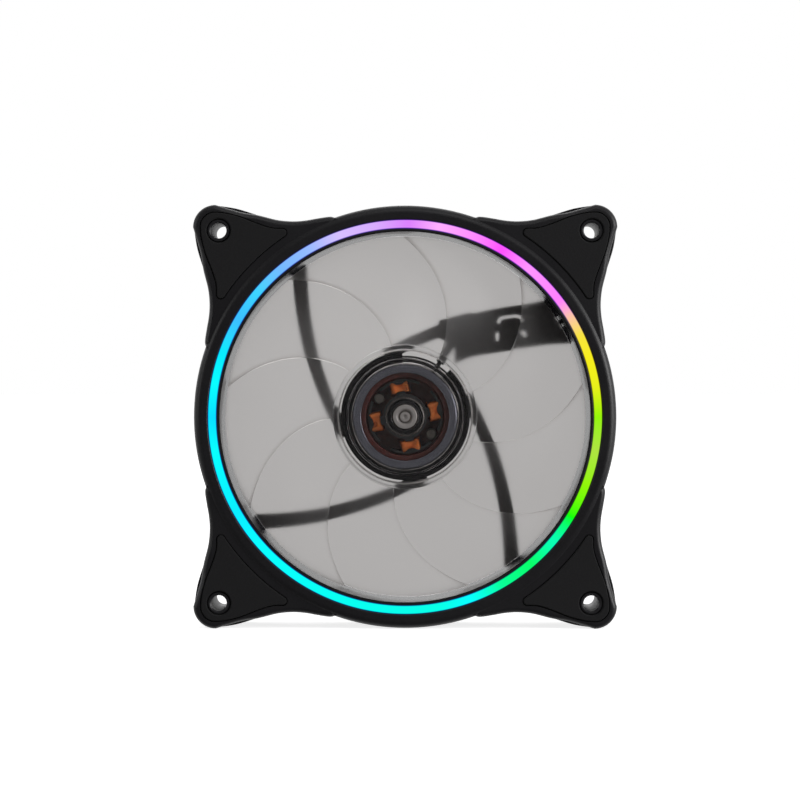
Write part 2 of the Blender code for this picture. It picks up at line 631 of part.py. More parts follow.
def light_ring(diffuser_material, board_material, led_material, stand):
    """The diffuser with its foot, the ring board behind it and the light chips on it."""
    foot_outer = CHANNEL_OUTER - FIT_GAP
    foot_back = HOUSING_FRONT - DIFFUSER_FOOT
    section = ((DIFFUSER_INNER, foot_back), (foot_outer, foot_back),
               (foot_outer, HOUSING_FRONT), (DIFFUSER_OUTER, HOUSING_FRONT),
               (DIFFUSER_OUTER, FRAME_DEPTH - DIFFUSER_RECESS),
               (DIFFUSER_INNER, FRAME_DEPTH - DIFFUSER_RECESS))
    turned("light_diffuser", section, RING_SEGMENTS, diffuser_material, stand)
    washer("led_board", DIFFUSER_INNER, foot_outer, BOARD_RING_BACK,
           BOARD_RING_BACK + LED_BOARD_THICK, RING_SEGMENTS, board_material, stand)
    radius = (DIFFUSER_INNER + foot_outer) / 2
    for number in range(LED_COUNT):
        angle = (number + 0.5) * 360 / LED_COUNT
        centre = (*polar(angle, radius), LED_BACK + LED_SIZE[2] / 2)
        block(f"led_{number + 1:02d}", LED_SIZE, centre, angle, led_material, stand)


def bearing(bronze, plastic, label_material, stand):
    """The sleeve bearing, the cap that the shaft's end runs on and the label over both."""
    washer("sleeve_bearing", BORE_RADIUS, BEARING_RADIUS, BEARING_BACK,
           BEARING_BACK + BEARING_LENGTH, SMALL_SEGMENTS, bronze, stand)
    cap_front = SHAFT_BACK - FIT_GAP
    rod("thrust_cap", BEARING_RADIUS, cap_front - THRUST_CAP_THICK, cap_front, SMALL_SEGMENTS,
        plastic, stand)
    front = BASE_BACK - FIT_GAP
    rod("rear_label", BASE_RADIUS - BASE_RIM - FIT_GAP, front - LABEL_THICK, front,
        PART_SEGMENTS, label_material, stand)


def motor_board(board_material, chip_material, stand):
    """The round board under the stator and the chips on it."""
    board_front = BOARD_BACK + BOARD_THICK
    washer("motor_board", CORE_BORE, BOARD_RADIUS, BOARD_BACK, board_front, PART_SEGMENTS,
           board_material, stand)
    for name, angle, across, along, height in CHIPS:
        centre = (*polar(angle, CHIP_RING), board_front + FIT_GAP + height / 2)
        block(name, (across, along, height), centre, angle, chip_material, stand)


def pole_pieces(name, back, front, ring, shoe_front, material, stand):
    """The star shape that core and insulators share: a ring, the arms and their shoes."""
    star = washer(name, CORE_BORE, CORE_BORE + CORE_RING, back, ring, SMALL_SEGMENTS, material,
                  stand)
    reach = SHOE_INNER + SHOE_THICK / 2
    start = CORE_BORE + CORE_RING / 2
    parts = []
    for number in range(POLE_COUNT):
        angle = POLE_ANGLE + number * 360 / POLE_COUNT
        middle = (*polar(angle, (start + reach) / 2), (back + front) / 2)
        parts.append(block(f"{name}_arm_{number}", (reach - start, POLE_WIDTH, front - back),
                           middle, angle, material, stand))
        spread = (angle - SHOE_HALF_ANGLE, angle + SHOE_HALF_ANGLE)
        shoe = (arc(Vector((0, 0)), SHOE_RADIUS, *spread, 5)
                + arc(Vector((0, 0)), SHOE_INNER, *reversed(spread), 5))
        parts.append(prism(f"{name}_shoe_{number}", shoe, back, shoe_front, material, stand))
    combine(star, "UNION", parts)
    return star


def stator(steel, plastic, copper, post_material, stand):
    """The laminated core between two insulators, a coil on each arm and the terminal posts."""
    pole_pieces("stator_core", CORE_BACK, CORE_FRONT, CORE_FRONT, CORE_FRONT, steel, stand)
    front = CORE_FRONT + FIT_GAP
    pole_pieces("insulator_front", front, front + INSULATOR_THICK,
                front + INSULATOR_THICK + INSULATOR_WALL, front + INSULATOR_THICK, plastic, stand)
    back = CORE_BACK - FIT_GAP
    pole_pieces("insulator_rear", back - INSULATOR_THICK, back, back, back, plastic, stand)
    for number in range(POLE_COUNT):
        coil(f"coil_{number + 1}", POLE_ANGLE + number * 360 / POLE_COUNT, copper, stand)
    for number, angle in enumerate(POST_ANGLES):
        rod(f"terminal_post_{number + 1}", POST_RADIUS, BOARD_BACK + BOARD_THICK + FIT_GAP,
            POST_TOP, HOLE_SEGMENTS, post_material, stand, polar(angle, POST_RING))


def coil(name, angle, material, stand):
    """A winding round one arm: a rounded box with a rectangular way through it."""
    inner_half = (POLE_WIDTH / 2 + FIT_GAP, CORE_HEIGHT / 2 + INSULATOR_GAPS + FIT_GAP)
    outer_half = (inner_half[0] + COIL_THICK, inner_half[1] + COIL_THICK)
    start = CORE_BORE + CORE_RING + FIT_GAP
    end = sqrt((SHOE_INNER - FIT_GAP) ** 2 - outer_half[0] ** 2)
    middle = (CORE_BACK + CORE_FRONT) / 2
    section = []
    for right, up, first in ((1, 1, 0), (-1, 1, 90), (-1, -1, 180), (1, -1, 270)):
        centre = Vector((right * (outer_half[0] - COIL_ROUND), up * (outer_half[1] - COIL_ROUND)))
        section += arc(centre, COIL_ROUND, first, first + 90, 3)
    shape = bmesh.new()
    extruded(shape, section, start, end)
    upright = Matrix(((0, 0, 1, 0), (1, 0, 0, 0), (0, 1, 0, middle), (0, 0, 0, 1)))
    bmesh.ops.transform(shape, matrix=Matrix.Rotation(radians(angle), 4, "Z") @ upright,
                        verts=shape.verts)
    winding = finish(name, shape, material, stand)
    hole = block(f"{name}_way", (3 * (end - start), 2 * inner_half[0], 2 * inner_half[1]),
                 (*polar(angle, (start + end) / 2), middle), angle, material, stand)
    combine(winding, "DIFFERENCE", [hole])


def lead_riser():
    """Where the lead climbs to the light ring, outside the duct."""
    return polar(OUTLET_ANGLE, DUCT_RADIUS + BARREL_WALL + LEAD_RADIUS + FIT_GAP)


def lead(material, stand):
    """The light ring's lead, held in the trough from the motor board to the ring board."""
    low = STRUT_BACK + LEAD_RADIUS + FIT_GAP
    riser = lead_riser()
    clip = trough_point(CLIP_ANGLE - 2, CLIP_SHARE)
    route = [Vector((*polar(BRIDGE_ANGLE, BOARD_RADIUS + FIT_GAP), BOARD_BACK + BOARD_THICK / 2)),
             Vector((*polar(BRIDGE_ANGLE, BASE_RADIUS), low + FIT_GAP)),
             Vector((*polar(BRIDGE_ANGLE, TROUGH_INNER - MM), low)),
             Vector((*trough_point(*LEAD_BEND), low)),
             Vector((*clip, low)),
             Vector((*trough_point(*LEAD_EXIT), low)),
             Vector((*polar(OUTLET_ANGLE, DUCT_RADIUS + BARREL_WALL / 2), low + MM / 4)),
             Vector((*riser, low + 2 * MM)),
             Vector((*riser, (low + CHANNEL_BACK) / 2)),
             Vector((*riser, BOARD_RING_BACK - FIT_GAP))]
    points = smooth_through(route, 3)
    curve = bpy.data.curves.new("led_lead", "CURVE")
    curve.dimensions = "3D"
    curve.bevel_depth = LEAD_RADIUS
    curve.bevel_resolution = 2
    curve.use_fill_caps = True
    spline = curve.splines.new("POLY")
    spline.points.add(len(points) - 1)
    for place, point in zip(spline.points, points):
        place.co = (*point, 1.0)
    curve.materials.append(material)
    piece = bpy.data.objects.new("led_lead", curve)
    piece.parent = stand
    bpy.context.scene.collection.objects.link(piece)


# ---------------------------------------------------------------- turning pieces


def blade_point(span, chord, first_angle):
    """A point on a blade's middle surface; span and chord run from 0 to 1."""
    root = HUB_RADIUS - HUB_WALL / 2
    radius = root + (TIP_RADIUS - root) * span
    pitch = 360 / BLADE_COUNT
    sweep = BLADE_SWEEP * span ** BLADE_SWEEP_POWER
    angle = first_angle + sweep + (chord - 0.5) * pitch * BLADE_COVER
    back = BLADE_ROOT[0] + (BLADE_TIP[0] - BLADE_ROOT[0]) * span
    front = BLADE_ROOT[1] + (BLADE_TIP[1] - BLADE_ROOT[1]) * span
    height = back + (front - back) * chord + BLADE_CAMBER * sin(pi * chord)
    return Vector((*polar(angle, radius), height))


def blades(material, spindle):
    """All blades as one guide, each a curved sheet with an even thickness."""
    shape = bmesh.new()
    for number in range(BLADE_COUNT):
        grid = bmesh.ops.create_grid(shape, x_segments=6, y_segments=4, size=0.5)["verts"]
        for vert in grid:
            vert.co = blade_point(vert.co.x + 0.5, vert.co.y + 0.5, number * 360 / BLADE_COUNT)
    bmesh.ops.recalc_face_normals(shape, faces=shape.faces)
    bmesh.ops.solidify(shape, geom=list(shape.faces), thickness=BLADE_THICK)
    return finish("blades", shape, material, spindle)


def impeller(material, spindle):
    """The clear hub with a sleeve for the yoke, and the blades round it."""
    inner = HUB_RADIUS - HUB_WALL
    plate_back = HUB_FRONT - HUB_PLATE
    sleeve = SLEEVE_INNER + SLEEVE_WALL
    boss = BUSH_HOLE + BUSH_BOSS_WALL
    boss_back = BUSH_BACK + FIT_GAP
    edge = arc(Vector((HUB_RADIUS - HUB_ROUND, HUB_FRONT - HUB_ROUND)), HUB_ROUND, 0, 90, 2)
    profile = [(inner, HUB_BACK), (HUB_RADIUS, HUB_BACK), *[tuple(point) for point in edge],
               (BUSH_HOLE, HUB_FRONT), (BUSH_HOLE, boss_back), (boss, boss_back),
               (boss, plate_back), (SLEEVE_INNER, plate_back), (SLEEVE_INNER, SLEEVE_BACK),
               (sleeve, SLEEVE_BACK), (sleeve, plate_back), (inner, plate_back)]
    hub = turned("impeller", profile, PART_SEGMENTS, material, spindle)
    combine(hub, "UNION", [blades(material, spindle)])
    return hub


def rotor(steel, magnet_material, bright_steel, spindle):
    """The yoke, the magnet in it, the shaft, its bush and the clip that keeps it in."""
    flange_back = YOKE_FRONT - YOKE_WALL
    yoke = ((YOKE_INNER, YOKE_BACK), (YOKE_OUTER, YOKE_BACK), (YOKE_OUTER, YOKE_FRONT),
            (YOKE_OPENING, YOKE_FRONT), (YOKE_OPENING, flange_back), (YOKE_INNER, flange_back))
    turned("rotor_yoke", yoke, PART_SEGMENTS, steel, spindle)
    washer("magnet_ring", MAGNET_INNER, MAGNET_OUTER, MAGNET_BACK, MAGNET_BACK + MAGNET_LENGTH,
           PART_SEGMENTS, magnet_material, spindle)
    shaft = rod("shaft", SHAFT_RADIUS, SHAFT_BACK, HUB_FRONT - FIT_GAP, SMALL_SEGMENTS,
                bright_steel, spindle)
    groove = washer("clip_groove", SHAFT_RADIUS - GROOVE_DEPTH, 2 * SHAFT_RADIUS, GROOVE_BACK,
                    GROOVE_BACK + GROOVE_WIDTH, SMALL_SEGMENTS, bright_steel, spindle)
    combine(shaft, "DIFFERENCE", [groove])
    washer("shaft_bush", SHAFT_RADIUS + FIT_GAP, BUSH_RADIUS, BUSH_BACK, HUB_FRONT,
           SMALL_SEGMENTS, bright_steel, spindle)
    clip_back = GROOVE_BACK + (GROOVE_WIDTH - CLIP_THICK) / 2
    clip_inner = SHAFT_RADIUS - GROOVE_DEPTH + FIT_GAP
    clip = washer("retaining_clip", clip_inner, CLIP_OUTER, clip_back, clip_back + CLIP_THICK,
                  HOLE_SEGMENTS, bright_steel, spindle)
    mouth = block("clip_mouth", (2 * CLIP_OUTER, SHAFT_RADIUS, 4 * CLIP_THICK),
                  (CLIP_OUTER, 0, clip_back), 0, bright_steel, spindle)
    combine(clip, "DIFFERENCE", [mouth])


# ---------------------------------------------------------------- assembly


def add_parent(name, parent=None):
    """An empty that pieces hang on."""
    empty = bpy.data.objects.new(name, None)
    empty.parent = parent
    bpy.context.scene.collection.objects.link(empty)
    return empty


def main():
    """Build the fan."""
    for piece in list(bpy.data.objects):
        bpy.data.objects.remove(piece, do_unlink=True)
    stand = add_parent("stand")
    stand.location = (0, FRAME_DEPTH / 2, HALF)
    stand.rotation_euler = (pi / 2, 0, 0)
    spindle = add_parent("spindle", stand)

    black = make_material("moulded_black", (0.012, 0.012, 0.014), 0.55)
    bezel_black = make_material("bezel_black", (0.014, 0.014, 0.016), 0.50)
    rubber = make_material("pad_rubber", (0.010, 0.009, 0.009), 0.90)
    clear = make_material("clear_plastic", (0.80, 0.80, 0.80), 0.08, alpha=0.35)
    milky = make_material("milky_diffuser", (0.85, 0.88, 0.90), 0.40)
    white_board = make_material("white_board", (0.70, 0.72, 0.70), 0.50)
    led_white = make_material("led_white", (0.80, 0.80, 0.70), 0.35)
    brown_board = make_material("brown_board", (0.090, 0.030, 0.014), 0.45)
    chip_black = make_material("chip_black", (0.015, 0.015, 0.016), 0.40)
    bronze = make_material("sintered_bronze", (0.42, 0.30, 0.18), 0.45, 1.0)
    steel = make_material("rotor_steel", (0.30, 0.31, 0.34), 0.30, 1.0)
    lamination = make_material("lamination_steel", (0.20, 0.20, 0.21), 0.45, 1.0)
    bright = make_material("bright_steel", (0.60, 0.59, 0.58), 0.22, 1.0)
    ferrite = make_material("ferrite_brown", (0.045, 0.012, 0.007), 0.55)
    copper = make_material("enamelled_copper", (0.50, 0.14, 0.05), 0.35, 1.0)
    post_grey = make_material("post_grey", (0.12, 0.12, 0.11), 0.50)
    paper = make_material("label_paper", (0.05, 0.05, 0.055), 0.50)
    jacket = make_material("lead_jacket", (0.013, 0.013, 0.014), 0.50)

    frame_housing(black, stand)
    front_bezel(bezel_black, stand)
    pads(rubber, stand)
    light_ring(milky, white_board, led_white, stand)
    bearing(bronze, chip_black, paper, stand)
    motor_board(brown_board, chip_black, stand)
    stator(lamination, black, copper, post_grey, stand)
    lead(jacket, stand)
    impeller(clear, spindle)
    rotor(steel, ferrite, bright, spindle)


main()
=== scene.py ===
"""Case fan, 120 mm class: the finished looks, built on the packed frame.

Every piece is drawn lying on its back, with the fan's axis along its local +Z and the back face at
local z = 0.  UPRIGHT then stands it up: local (x, y, z) goes to world (x, back face - z, axis height
+ y), so that the lit face looks towards -Y.
"""

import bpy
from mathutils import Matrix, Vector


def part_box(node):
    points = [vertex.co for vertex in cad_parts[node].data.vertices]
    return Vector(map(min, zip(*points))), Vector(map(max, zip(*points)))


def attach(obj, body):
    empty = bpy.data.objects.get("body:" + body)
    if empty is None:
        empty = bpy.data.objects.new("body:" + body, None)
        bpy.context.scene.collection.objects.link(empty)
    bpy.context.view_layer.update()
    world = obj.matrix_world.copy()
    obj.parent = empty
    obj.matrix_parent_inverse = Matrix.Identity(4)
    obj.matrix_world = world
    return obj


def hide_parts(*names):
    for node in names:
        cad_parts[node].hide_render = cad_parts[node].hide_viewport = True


bl_info = {
    "name": "Case Fan",
    "version": (1, 0, 0),
    "blender": (4, 5, 0),
    "location": "3D View > Sidebar > Case Fan",
    "description": "Builds a case fan with a lit ring, a clear impeller and a brushless motor",
    "category": "Add Mesh",
}

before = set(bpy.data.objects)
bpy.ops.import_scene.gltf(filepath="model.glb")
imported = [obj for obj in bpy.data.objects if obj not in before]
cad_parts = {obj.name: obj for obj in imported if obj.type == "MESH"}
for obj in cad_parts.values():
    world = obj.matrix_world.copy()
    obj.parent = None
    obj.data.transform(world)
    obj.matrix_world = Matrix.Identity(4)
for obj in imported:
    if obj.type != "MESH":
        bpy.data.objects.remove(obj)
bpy.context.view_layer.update()        # bodies "frame" and "rotor", their nodes, the joint and the record

from math import asin, cos, hypot, pi, radians, sin, sqrt, tan

import bmesh
import bpy
from bpy.props import FloatProperty, FloatVectorProperty, IntProperty, PointerProperty
from mathutils import Matrix, Vector

MM = 0.001
CENTRE = Vector((0, 0))
CORNER_NAMES = ("top_right", "top_left", "bottom_left", "bottom_right")

# ---------------------------------------------------------------- sizes taken from the frame
HOUSING_LOW, HOUSING_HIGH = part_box("frame_housing")
BACK_Y = HOUSING_HIGH.y                     # world y of the back face
AXIS_Z = (HOUSING_LOW.z + HOUSING_HIGH.z) / 2
UPRIGHT = Matrix.Translation((0, BACK_Y, AXIS_Z)) @ Matrix.Rotation(pi / 2, 4, "X")


def radius_of(node):
    """Outer radius of a CAD node that is round about the fan's axis."""
    low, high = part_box(node)
    return (high.x - low.x) / 2


def back_of(node):
    """How far in front of the back face a CAD node starts."""
    return BACK_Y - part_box(node)[1].y


def front_of(node):
    """How far in front of the back face a CAD node ends."""
    return BACK_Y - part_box(node)[0].y


HALF = HOUSING_HIGH.x
DEPTH = front_of("front_bezel")
BEZEL_BACK = back_of("front_bezel")
PAD_FRONT = front_of("front_pad_top_right")
LIP_GAP = 0.3 * MM              # between pieces that touch


def length(name, default, description):
    """A length that a user can set, in metres."""
    return FloatProperty(name=name, description=description, default=default, unit="LENGTH",
                         precision=5)


def colour(name, default, description):
    """A colour that a user can set, as it looks on screen."""
    return FloatVectorProperty(name=name, description=description, default=default, size=3,
                               min=0, max=1, subtype="COLOR_GAMMA")


# ---------------------------------------------------------------- settings


class FanFrameSizes(bpy.types.PropertyGroup):
    """Sizes of the housing, the front cover and the pads."""

    ring_radius: length("Ring radius", HALF - 0.2 * MM, "Outer radius of the frame's ring")
    ring_round: length("Ring rounding", 2.2 * MM, "Rounding of the ring's outer front edge")
    cover_rim: length("Cover rim", 4.0 * MM, "Width of the cover's ring outside the light")
    diffuser_width: length("Diffuser width", 1.9 * MM, "Width of the lit ring")
    duct_lip: length("Duct lip", 0.9 * MM, "Width of the black lip inside the lit ring")
    duct_taper: length("Duct taper", 0.28 * MM, "How much the duct narrows towards the back")
    barrel_wall: length("Barrel wall", 2.5 * MM, "Wall of the duct")
    ear_corner: length("Ear corner", 6.3 * MM, "Corner radius of the four ears")
    ear_thick: length("Ear thickness", 4.5 * MM, "Thickness of an ear flange")
    ear_drop: length("Ear drop", 0.6 * MM, "How far the ear face lies behind the ring's crest")
    ear_edge: length("Ear edge", 1.5 * MM, "Rounding of the ears' front edges")
    hole_inset: length("Hole inset", 7.3 * MM, "Screw hole centre from the frame's side")
    hole_radius: length("Hole radius", 2.2 * MM, "Radius of the screw holes")
    boss_radius: length("Boss radius", 3.0 * MM, "Radius of the boss round a screw hole")
    pad_hole: length("Pad hole", 3.4 * MM, "Radius of the hole in a pad")
    pad_thick: length("Pad thickness", 1.2 * MM, "Thickness of a pad")
    pad_round: length("Pad rounding", 0.3 * MM, "Rounding of a pad's edges")
    edge_break: length("Edge break", 0.25 * MM, "Small rounding of moulded edges")


class FanHubSizes(bpy.types.PropertyGroup):
    """Sizes of the motor base, the struts, the hub and the blades."""

    base_radius: length("Base radius", 18.6 * MM, "Radius of the motor base")
    tube_inner: length("Bearing seat", 3.56 * MM, "Inner radius of the bearing tube")
    tube_outer: length("Bearing tube", 4.61 * MM, "Outer radius of the bearing tube")
    strut_bend: length("Strut bend", 96 * MM, "Radius of the struts' curve")
    hub_wall: length("Hub wall", 1.3 * MM, "Wall of the clear hub")
    hub_plate: length("Hub plate", 1.6 * MM, "Front plate of the clear hub")
    blade_thick: length("Blade thickness", 1.0 * MM, "Thickness in the middle of a blade")
    blade_edge: length("Blade edge", 0.18 * MM, "Thickness at a blade's edges")
    blade_count: IntProperty(name="Blades", description="How many blades the impeller has",
                             default=9, min=3)
    wire: length("Winding wire", 0.26 * MM, "Diameter of the winding wire")
    lead_wire: length("Lead wire", 0.7 * MM, "Diameter of each wire of the lead")


class FanColours(bpy.types.PropertyGroup):
    """Colours of the finishes and of the light."""

    housing: colour("Housing", (0.105, 0.103, 0.115), "Moulded black of the housing")
    cover: colour("Front cover", (0.110, 0.106, 0.118), "Moulded black of the front cover")
    pad: colour("Pads", (0.060, 0.056, 0.066), "Soft black of the corner pads")
    plastic: colour("Clear plastic", (0.86, 0.85, 0.845), "Tint of the impeller")
    steel: colour("Yoke", (0.42, 0.43, 0.47), "Plated steel of the yoke")
    shaft: colour("Shaft", (0.66, 0.64, 0.63), "Ground steel of shaft and bush")
    copper: colour("Windings", (0.93, 0.56, 0.30), "Enamelled copper")
    magnet: colour("Magnet", (0.27, 0.035, 0.0), "Plastic-bonded ferrite")
    board: colour("Motor board", (0.36, 0.12, 0.08), "Solder mask of the motor board")
    cyan: colour("Cyan", (0.0, 1.0, 1.0), "Light on the left and below")
    azure: colour("Azure", (0.0, 0.78, 1.0), "Light on the left, at its bluest")
    sky: colour("Sky", (0.38, 0.72, 1.0), "Light at the upper left")
    lilac: colour("Lilac", (0.84, 0.75, 1.0), "Light above, left of the middle")
    violet: colour("Violet", (0.86, 0.50, 0.99), "Light at the top")
    pink: colour("Pink", (1.0, 0.68, 1.0), "Light at the upper right, at its palest")
    magenta: colour("Magenta", (1.0, 0.30, 1.0), "Light at the upper right")
    yellow: colour("Yellow", (0.97, 0.93, 0.10), "Light right of the top")
    lime: colour("Lime", (0.58, 0.96, 0.0), "Light on the right")
    green: colour("Green", (0.0, 1.0, 0.0), "Light at the lower right")
    aqua: colour("Aqua", (0.0, 1.0, 0.90), "Light at the bottom")


class FanStage(bpy.types.PropertyGroup):
    """The floor, the lights and the camera."""

    floor_size: length("Floor", 12.0, "Side of the square floor")
    camera_distance: length("Camera distance", 0.811, "Camera in front of the lit face")
    camera_right: length("Camera right", 5.7 * MM, "Camera right of the fan's axis")
    camera_up: length("Camera up", 14.9 * MM, "Camera above the fan's axis")
    aim_right: length("Aim right", -1.4 * MM, "Point looked at, right of the axis")
    aim_up: length("Aim up", 4.8 * MM, "Point looked at, above the axis")
    view_angle: FloatProperty(name="View angle", description="The camera's field of view",
                              default=radians(15.8), subtype="ANGLE")
    room_light: FloatProperty(name="Room light", description="Strength of the light all round",
                              default=0.30, min=0)
    front_gloss: FloatProperty(name="Front gloss", default=0.05, min=0,
                               description="Brightness of the room before the fan, in gloss")
    back_gloss: FloatProperty(name="Back gloss", default=0.9, min=0,
                              description="Brightness of the backdrop, in gloss")
    behind_light: FloatProperty(name="Light behind", default=0.62, min=0,
                                description="Brightness of the backdrop seen through plastic")


# ---------------------------------------------------------------- outlines


def polar(angle, radius):
    """The point at an angle in degrees and a distance from the axis."""
    return Vector((radius * cos(radians(angle)), radius * sin(radians(angle))))


def arc(centre, radius, start, end, steps):
    """Points along an arc, both ends included."""
    return [centre + polar(start + (end - start) * i / steps, radius) for i in range(steps + 1)]


def smooth_through(points, steps):
    """A Catmull-Rom curve through the points, with this many steps for each stretch."""
    ends = [points[0] * 2 - points[1]] + list(points) + [points[-1] * 2 - points[-2]]
    curve = []
    for a, b, c, d in zip(ends, ends[1:], ends[2:], ends[3:]):
        for step in range(steps):
            t = step / steps
            curve.append(0.5 * (2 * b + (c - a) * t + (2 * a - 5 * b + 4 * c - d) * t * t
                                + (3 * b - a - 3 * c + d) * t ** 3))
    return curve + [points[-1].copy()]


def turned_outline(outline, angle):
    """The outline turned about the fan's axis."""
    turn = Matrix.Rotation(radians(angle), 2)
    return [turn @ point for point in outline]


def grown(outline, distance):
    """A counter-clockwise outline, moved outwards by a distance."""
    moved = []
    for before, point, after in zip(outline[-1:] + outline[:-1], outline, outline[1:] + outline[:1]):
        first = (point - before).normalized()
        second = (after - point).normalized()
        outwards = Vector((first.y + second.y, -first.x - second.x))
        moved.append(point + outwards * (distance / (1 + first.dot(second))))
    return moved


def softened(outline, radius, steps=3):
    """The outline with its corners rounded to a radius, or to what its sides leave room for."""
    outline = [Vector(point) for point in outline]
    result = []
    for before, point, after in zip(outline[-1:] + outline[:-1], outline, outline[1:] + outline[:1]):
        to_before = before - point
        to_after = after - point
        half_angle = to_before.angle(to_after) / 2
        room = 0.45 * min(to_before.length, to_after.length)
        cut = min(radius / tan(half_angle), room)
        start = point + to_before.normalized() * cut
        end = point + to_after.normalized() * cut
        for step in range(steps + 1):
            t = step / steps
            result.append(start * (1 - t) ** 2 + point * (2 * t * (1 - t)) + end * t * t)
    return result


EAR_TAIL_ANGLE = 18.6           # where an ear's tail starts, inside the ring's surface
EAR_TAIL_SINK = 1.15 * MM
# one side of an ear, from its tail to its corner: angle about the fan's axis, inset
EAR_SIDE = ((19.7, 3.50 * MM), (21.0, 3.36 * MM), (24.0, 3.85 * MM), (27.0, 4.42 * MM),
            (30.0, 4.64 * MM), (33.0, 4.24 * MM))
HOUSING_FLANK = ((36.0, 2.82 * MM), (39.0, 0.91 * MM))
COVER_FLANK = ((36.0, 2.95 * MM), (38.4, 2.25 * MM), (40.2, 1.20 * MM))
PAD_SIDE = ((35.2, 6.7 * MM), (37.3, 5.5 * MM), (39.6, 3.5 * MM), (41.8, 2.4 * MM))
PAD_TIP_ANGLE = 33.6
PAD_TIP_ROUND = 1.1 * MM
PAD_INNER_GAP = 1.6 * MM
PAD_CORNER = 4.2 * MM
PAD_CORNER_INSET = 2.2 * MM
EAR_ROOT = 0.6 * MM             # how far inside the ring's wall the ears start
EAR_SINK = 0.12 * MM            # housing ears behind the ring's flat faces
# trough outline: angle about the fan's axis, share of the way from the motor base to the duct
TROUGH_TOP = ((70.7, 0.315), (64.1, 0.392), (58.4, 0.483), (54.0, 0.543), (45.6, 0.752))
TROUGH_BOTTOM = ((29.1, 0.691), (34.8, 0.415), (42.0, 0.197), (46.3, 0.063))
TROUGH_END_ANGLES = (23.2, 39.1)
TROUGH_INNER_SHARE = 0.170
TROUGH_WALL = 1.2 * MM
BRIDGE_ANGLE = 57.0
STRUT_COUNT = 4
STRUT_OUTER_ANGLE = 35.3
STRUT_SWEEP = 73.5
STRUT_WIDTHS = (3.3 * MM, 4.3 * MM)
STRUT_BACK = 0.8 * MM
STRUT_FRONT = 5.2 * MM
OUTLET_ANGLE = 31.4
CLIP_ANGLE = 40.3
CLIP_SHARE = 0.655
WINDOW_ANGLES = (46.0, 93.0)
WINDOW_RADIUS = 15.4 * MM


def side_point(angle, inset):
    """The point at an angle from the axis, inset from the frame's right side."""
    x = HALF - inset
    return Vector((x, x * tan(radians(angle))))


def ear_outline(flank, closing_radius):
    """An ear of the upper right corner, closed by an arc inside the ring."""
    sizes = bpy.context.scene.fan_frame
    centre = Vector((HALF - sizes.ear_corner,) * 2)
    corner = arc(centre, sizes.ear_corner, 0, 90, 20)
    knots = [polar(EAR_TAIL_ANGLE, sizes.ring_radius - EAR_TAIL_SINK)]
    knots += [side_point(angle, inset) for angle, inset in EAR_SIDE + flank]
    side = smooth_through(knots + [corner[0]], 5)[:-1]
    mirrored = [Vector((y, x)) for x, y in reversed(side)]
    closing = arc(CENTRE, closing_radius, 90 - EAR_TAIL_ANGLE, EAR_TAIL_ANGLE, 24)
    return side + corner + mirrored + closing


def pad_outline(margin):
    """A pad of the upper right ear, grown all round by a margin."""
    inner_radius = bpy.context.scene.fan_frame.ring_radius + PAD_INNER_GAP
    tip_centre = polar(PAD_TIP_ANGLE, inner_radius + PAD_TIP_ROUND)
    tip = arc(tip_centre, PAD_TIP_ROUND, PAD_TIP_ANGLE + 180, 350, 10)
    corner_centre = Vector((HALF - PAD_CORNER_INSET - PAD_CORNER,) * 2)
    corner = arc(corner_centre, PAD_CORNER, 12, 78, 14)
    knots = [side_point(angle, inset) for angle, inset in PAD_SIDE]
    run = smooth_through([tip[-1]] + knots + [corner[0]], 4)[1:-1]
    side = tip + run
    mirrored = [Vector((y, x)) for x, y in reversed(side)]
    inner = arc(CENTRE, inner_radius, 90 - PAD_TIP_ANGLE, PAD_TIP_ANGLE, 20)[1:-1]
    return grown(side + corner + mirrored + inner, margin)


def strut_outline(angle, reach, base_radius, bend):
    """A strut from the motor base to the duct, curved and widening outwards."""
    outer = polar(angle, reach)
    inner = polar(angle + STRUT_SWEEP, base_radius)
    chord = outer - inner
    along = chord.normalized()
    across = Vector((-along.y, along.x))
    centre = (inner + outer) / 2 - across * sqrt(bend ** 2 - (chord.length / 2) ** 2)
    half_turn = asin(chord.length / 2 / bend)
    steps = 24
    left = []
    right = []
    for step in range(steps + 1):
        share = step / steps
        turn = half_turn * (1 - 2 * share)
        ray = across * cos(turn) - along * sin(turn)
        half_width = (STRUT_WIDTHS[0] * (1 - share) + STRUT_WIDTHS[1] * share) / 2
        left.append(centre + ray * (bend + half_width))
        right.append(centre + ray * (bend - half_width))
    return right + left[::-1]


def between(share):
    """The radius a share of the way from the motor base to the duct."""
    base = bpy.context.scene.fan_hub.base_radius
    return base + share * (ring_sizes()[3] - base)


def trough_outline(reach):
    """The lead trough: sides out to the duct, and an arc that faces the hub."""
    bottom, top = (smooth_through([polar(angle, between(share)) for angle, share in side[::-1]], 4)
                   for side in (TROUGH_BOTTOM, TROUGH_TOP))
    end = arc(CENTRE, reach, *TROUGH_END_ANGLES, 12)
    hub_side = arc(CENTRE, between(TROUGH_INNER_SHARE), TROUGH_TOP[0][0], BRIDGE_ANGLE - 3, 10)
    return bottom + end + top + hub_side


# ---------------------------------------------------------------- solids


def add_turned(shape, profile, segments=160):
    """Turns a closed profile of (radius, height) points about the axis."""
    points = [shape.verts.new((radius, 0, height)) for radius, height in profile]
    edges = [shape.edges.new(pair) for pair in zip(points, points[1:] + points[:1])]
    bmesh.ops.spin(shape, geom=points + edges, axis=(0, 0, 1), cent=(0, 0, 0), angle=2 * pi,
                   steps=segments, use_merge=True)


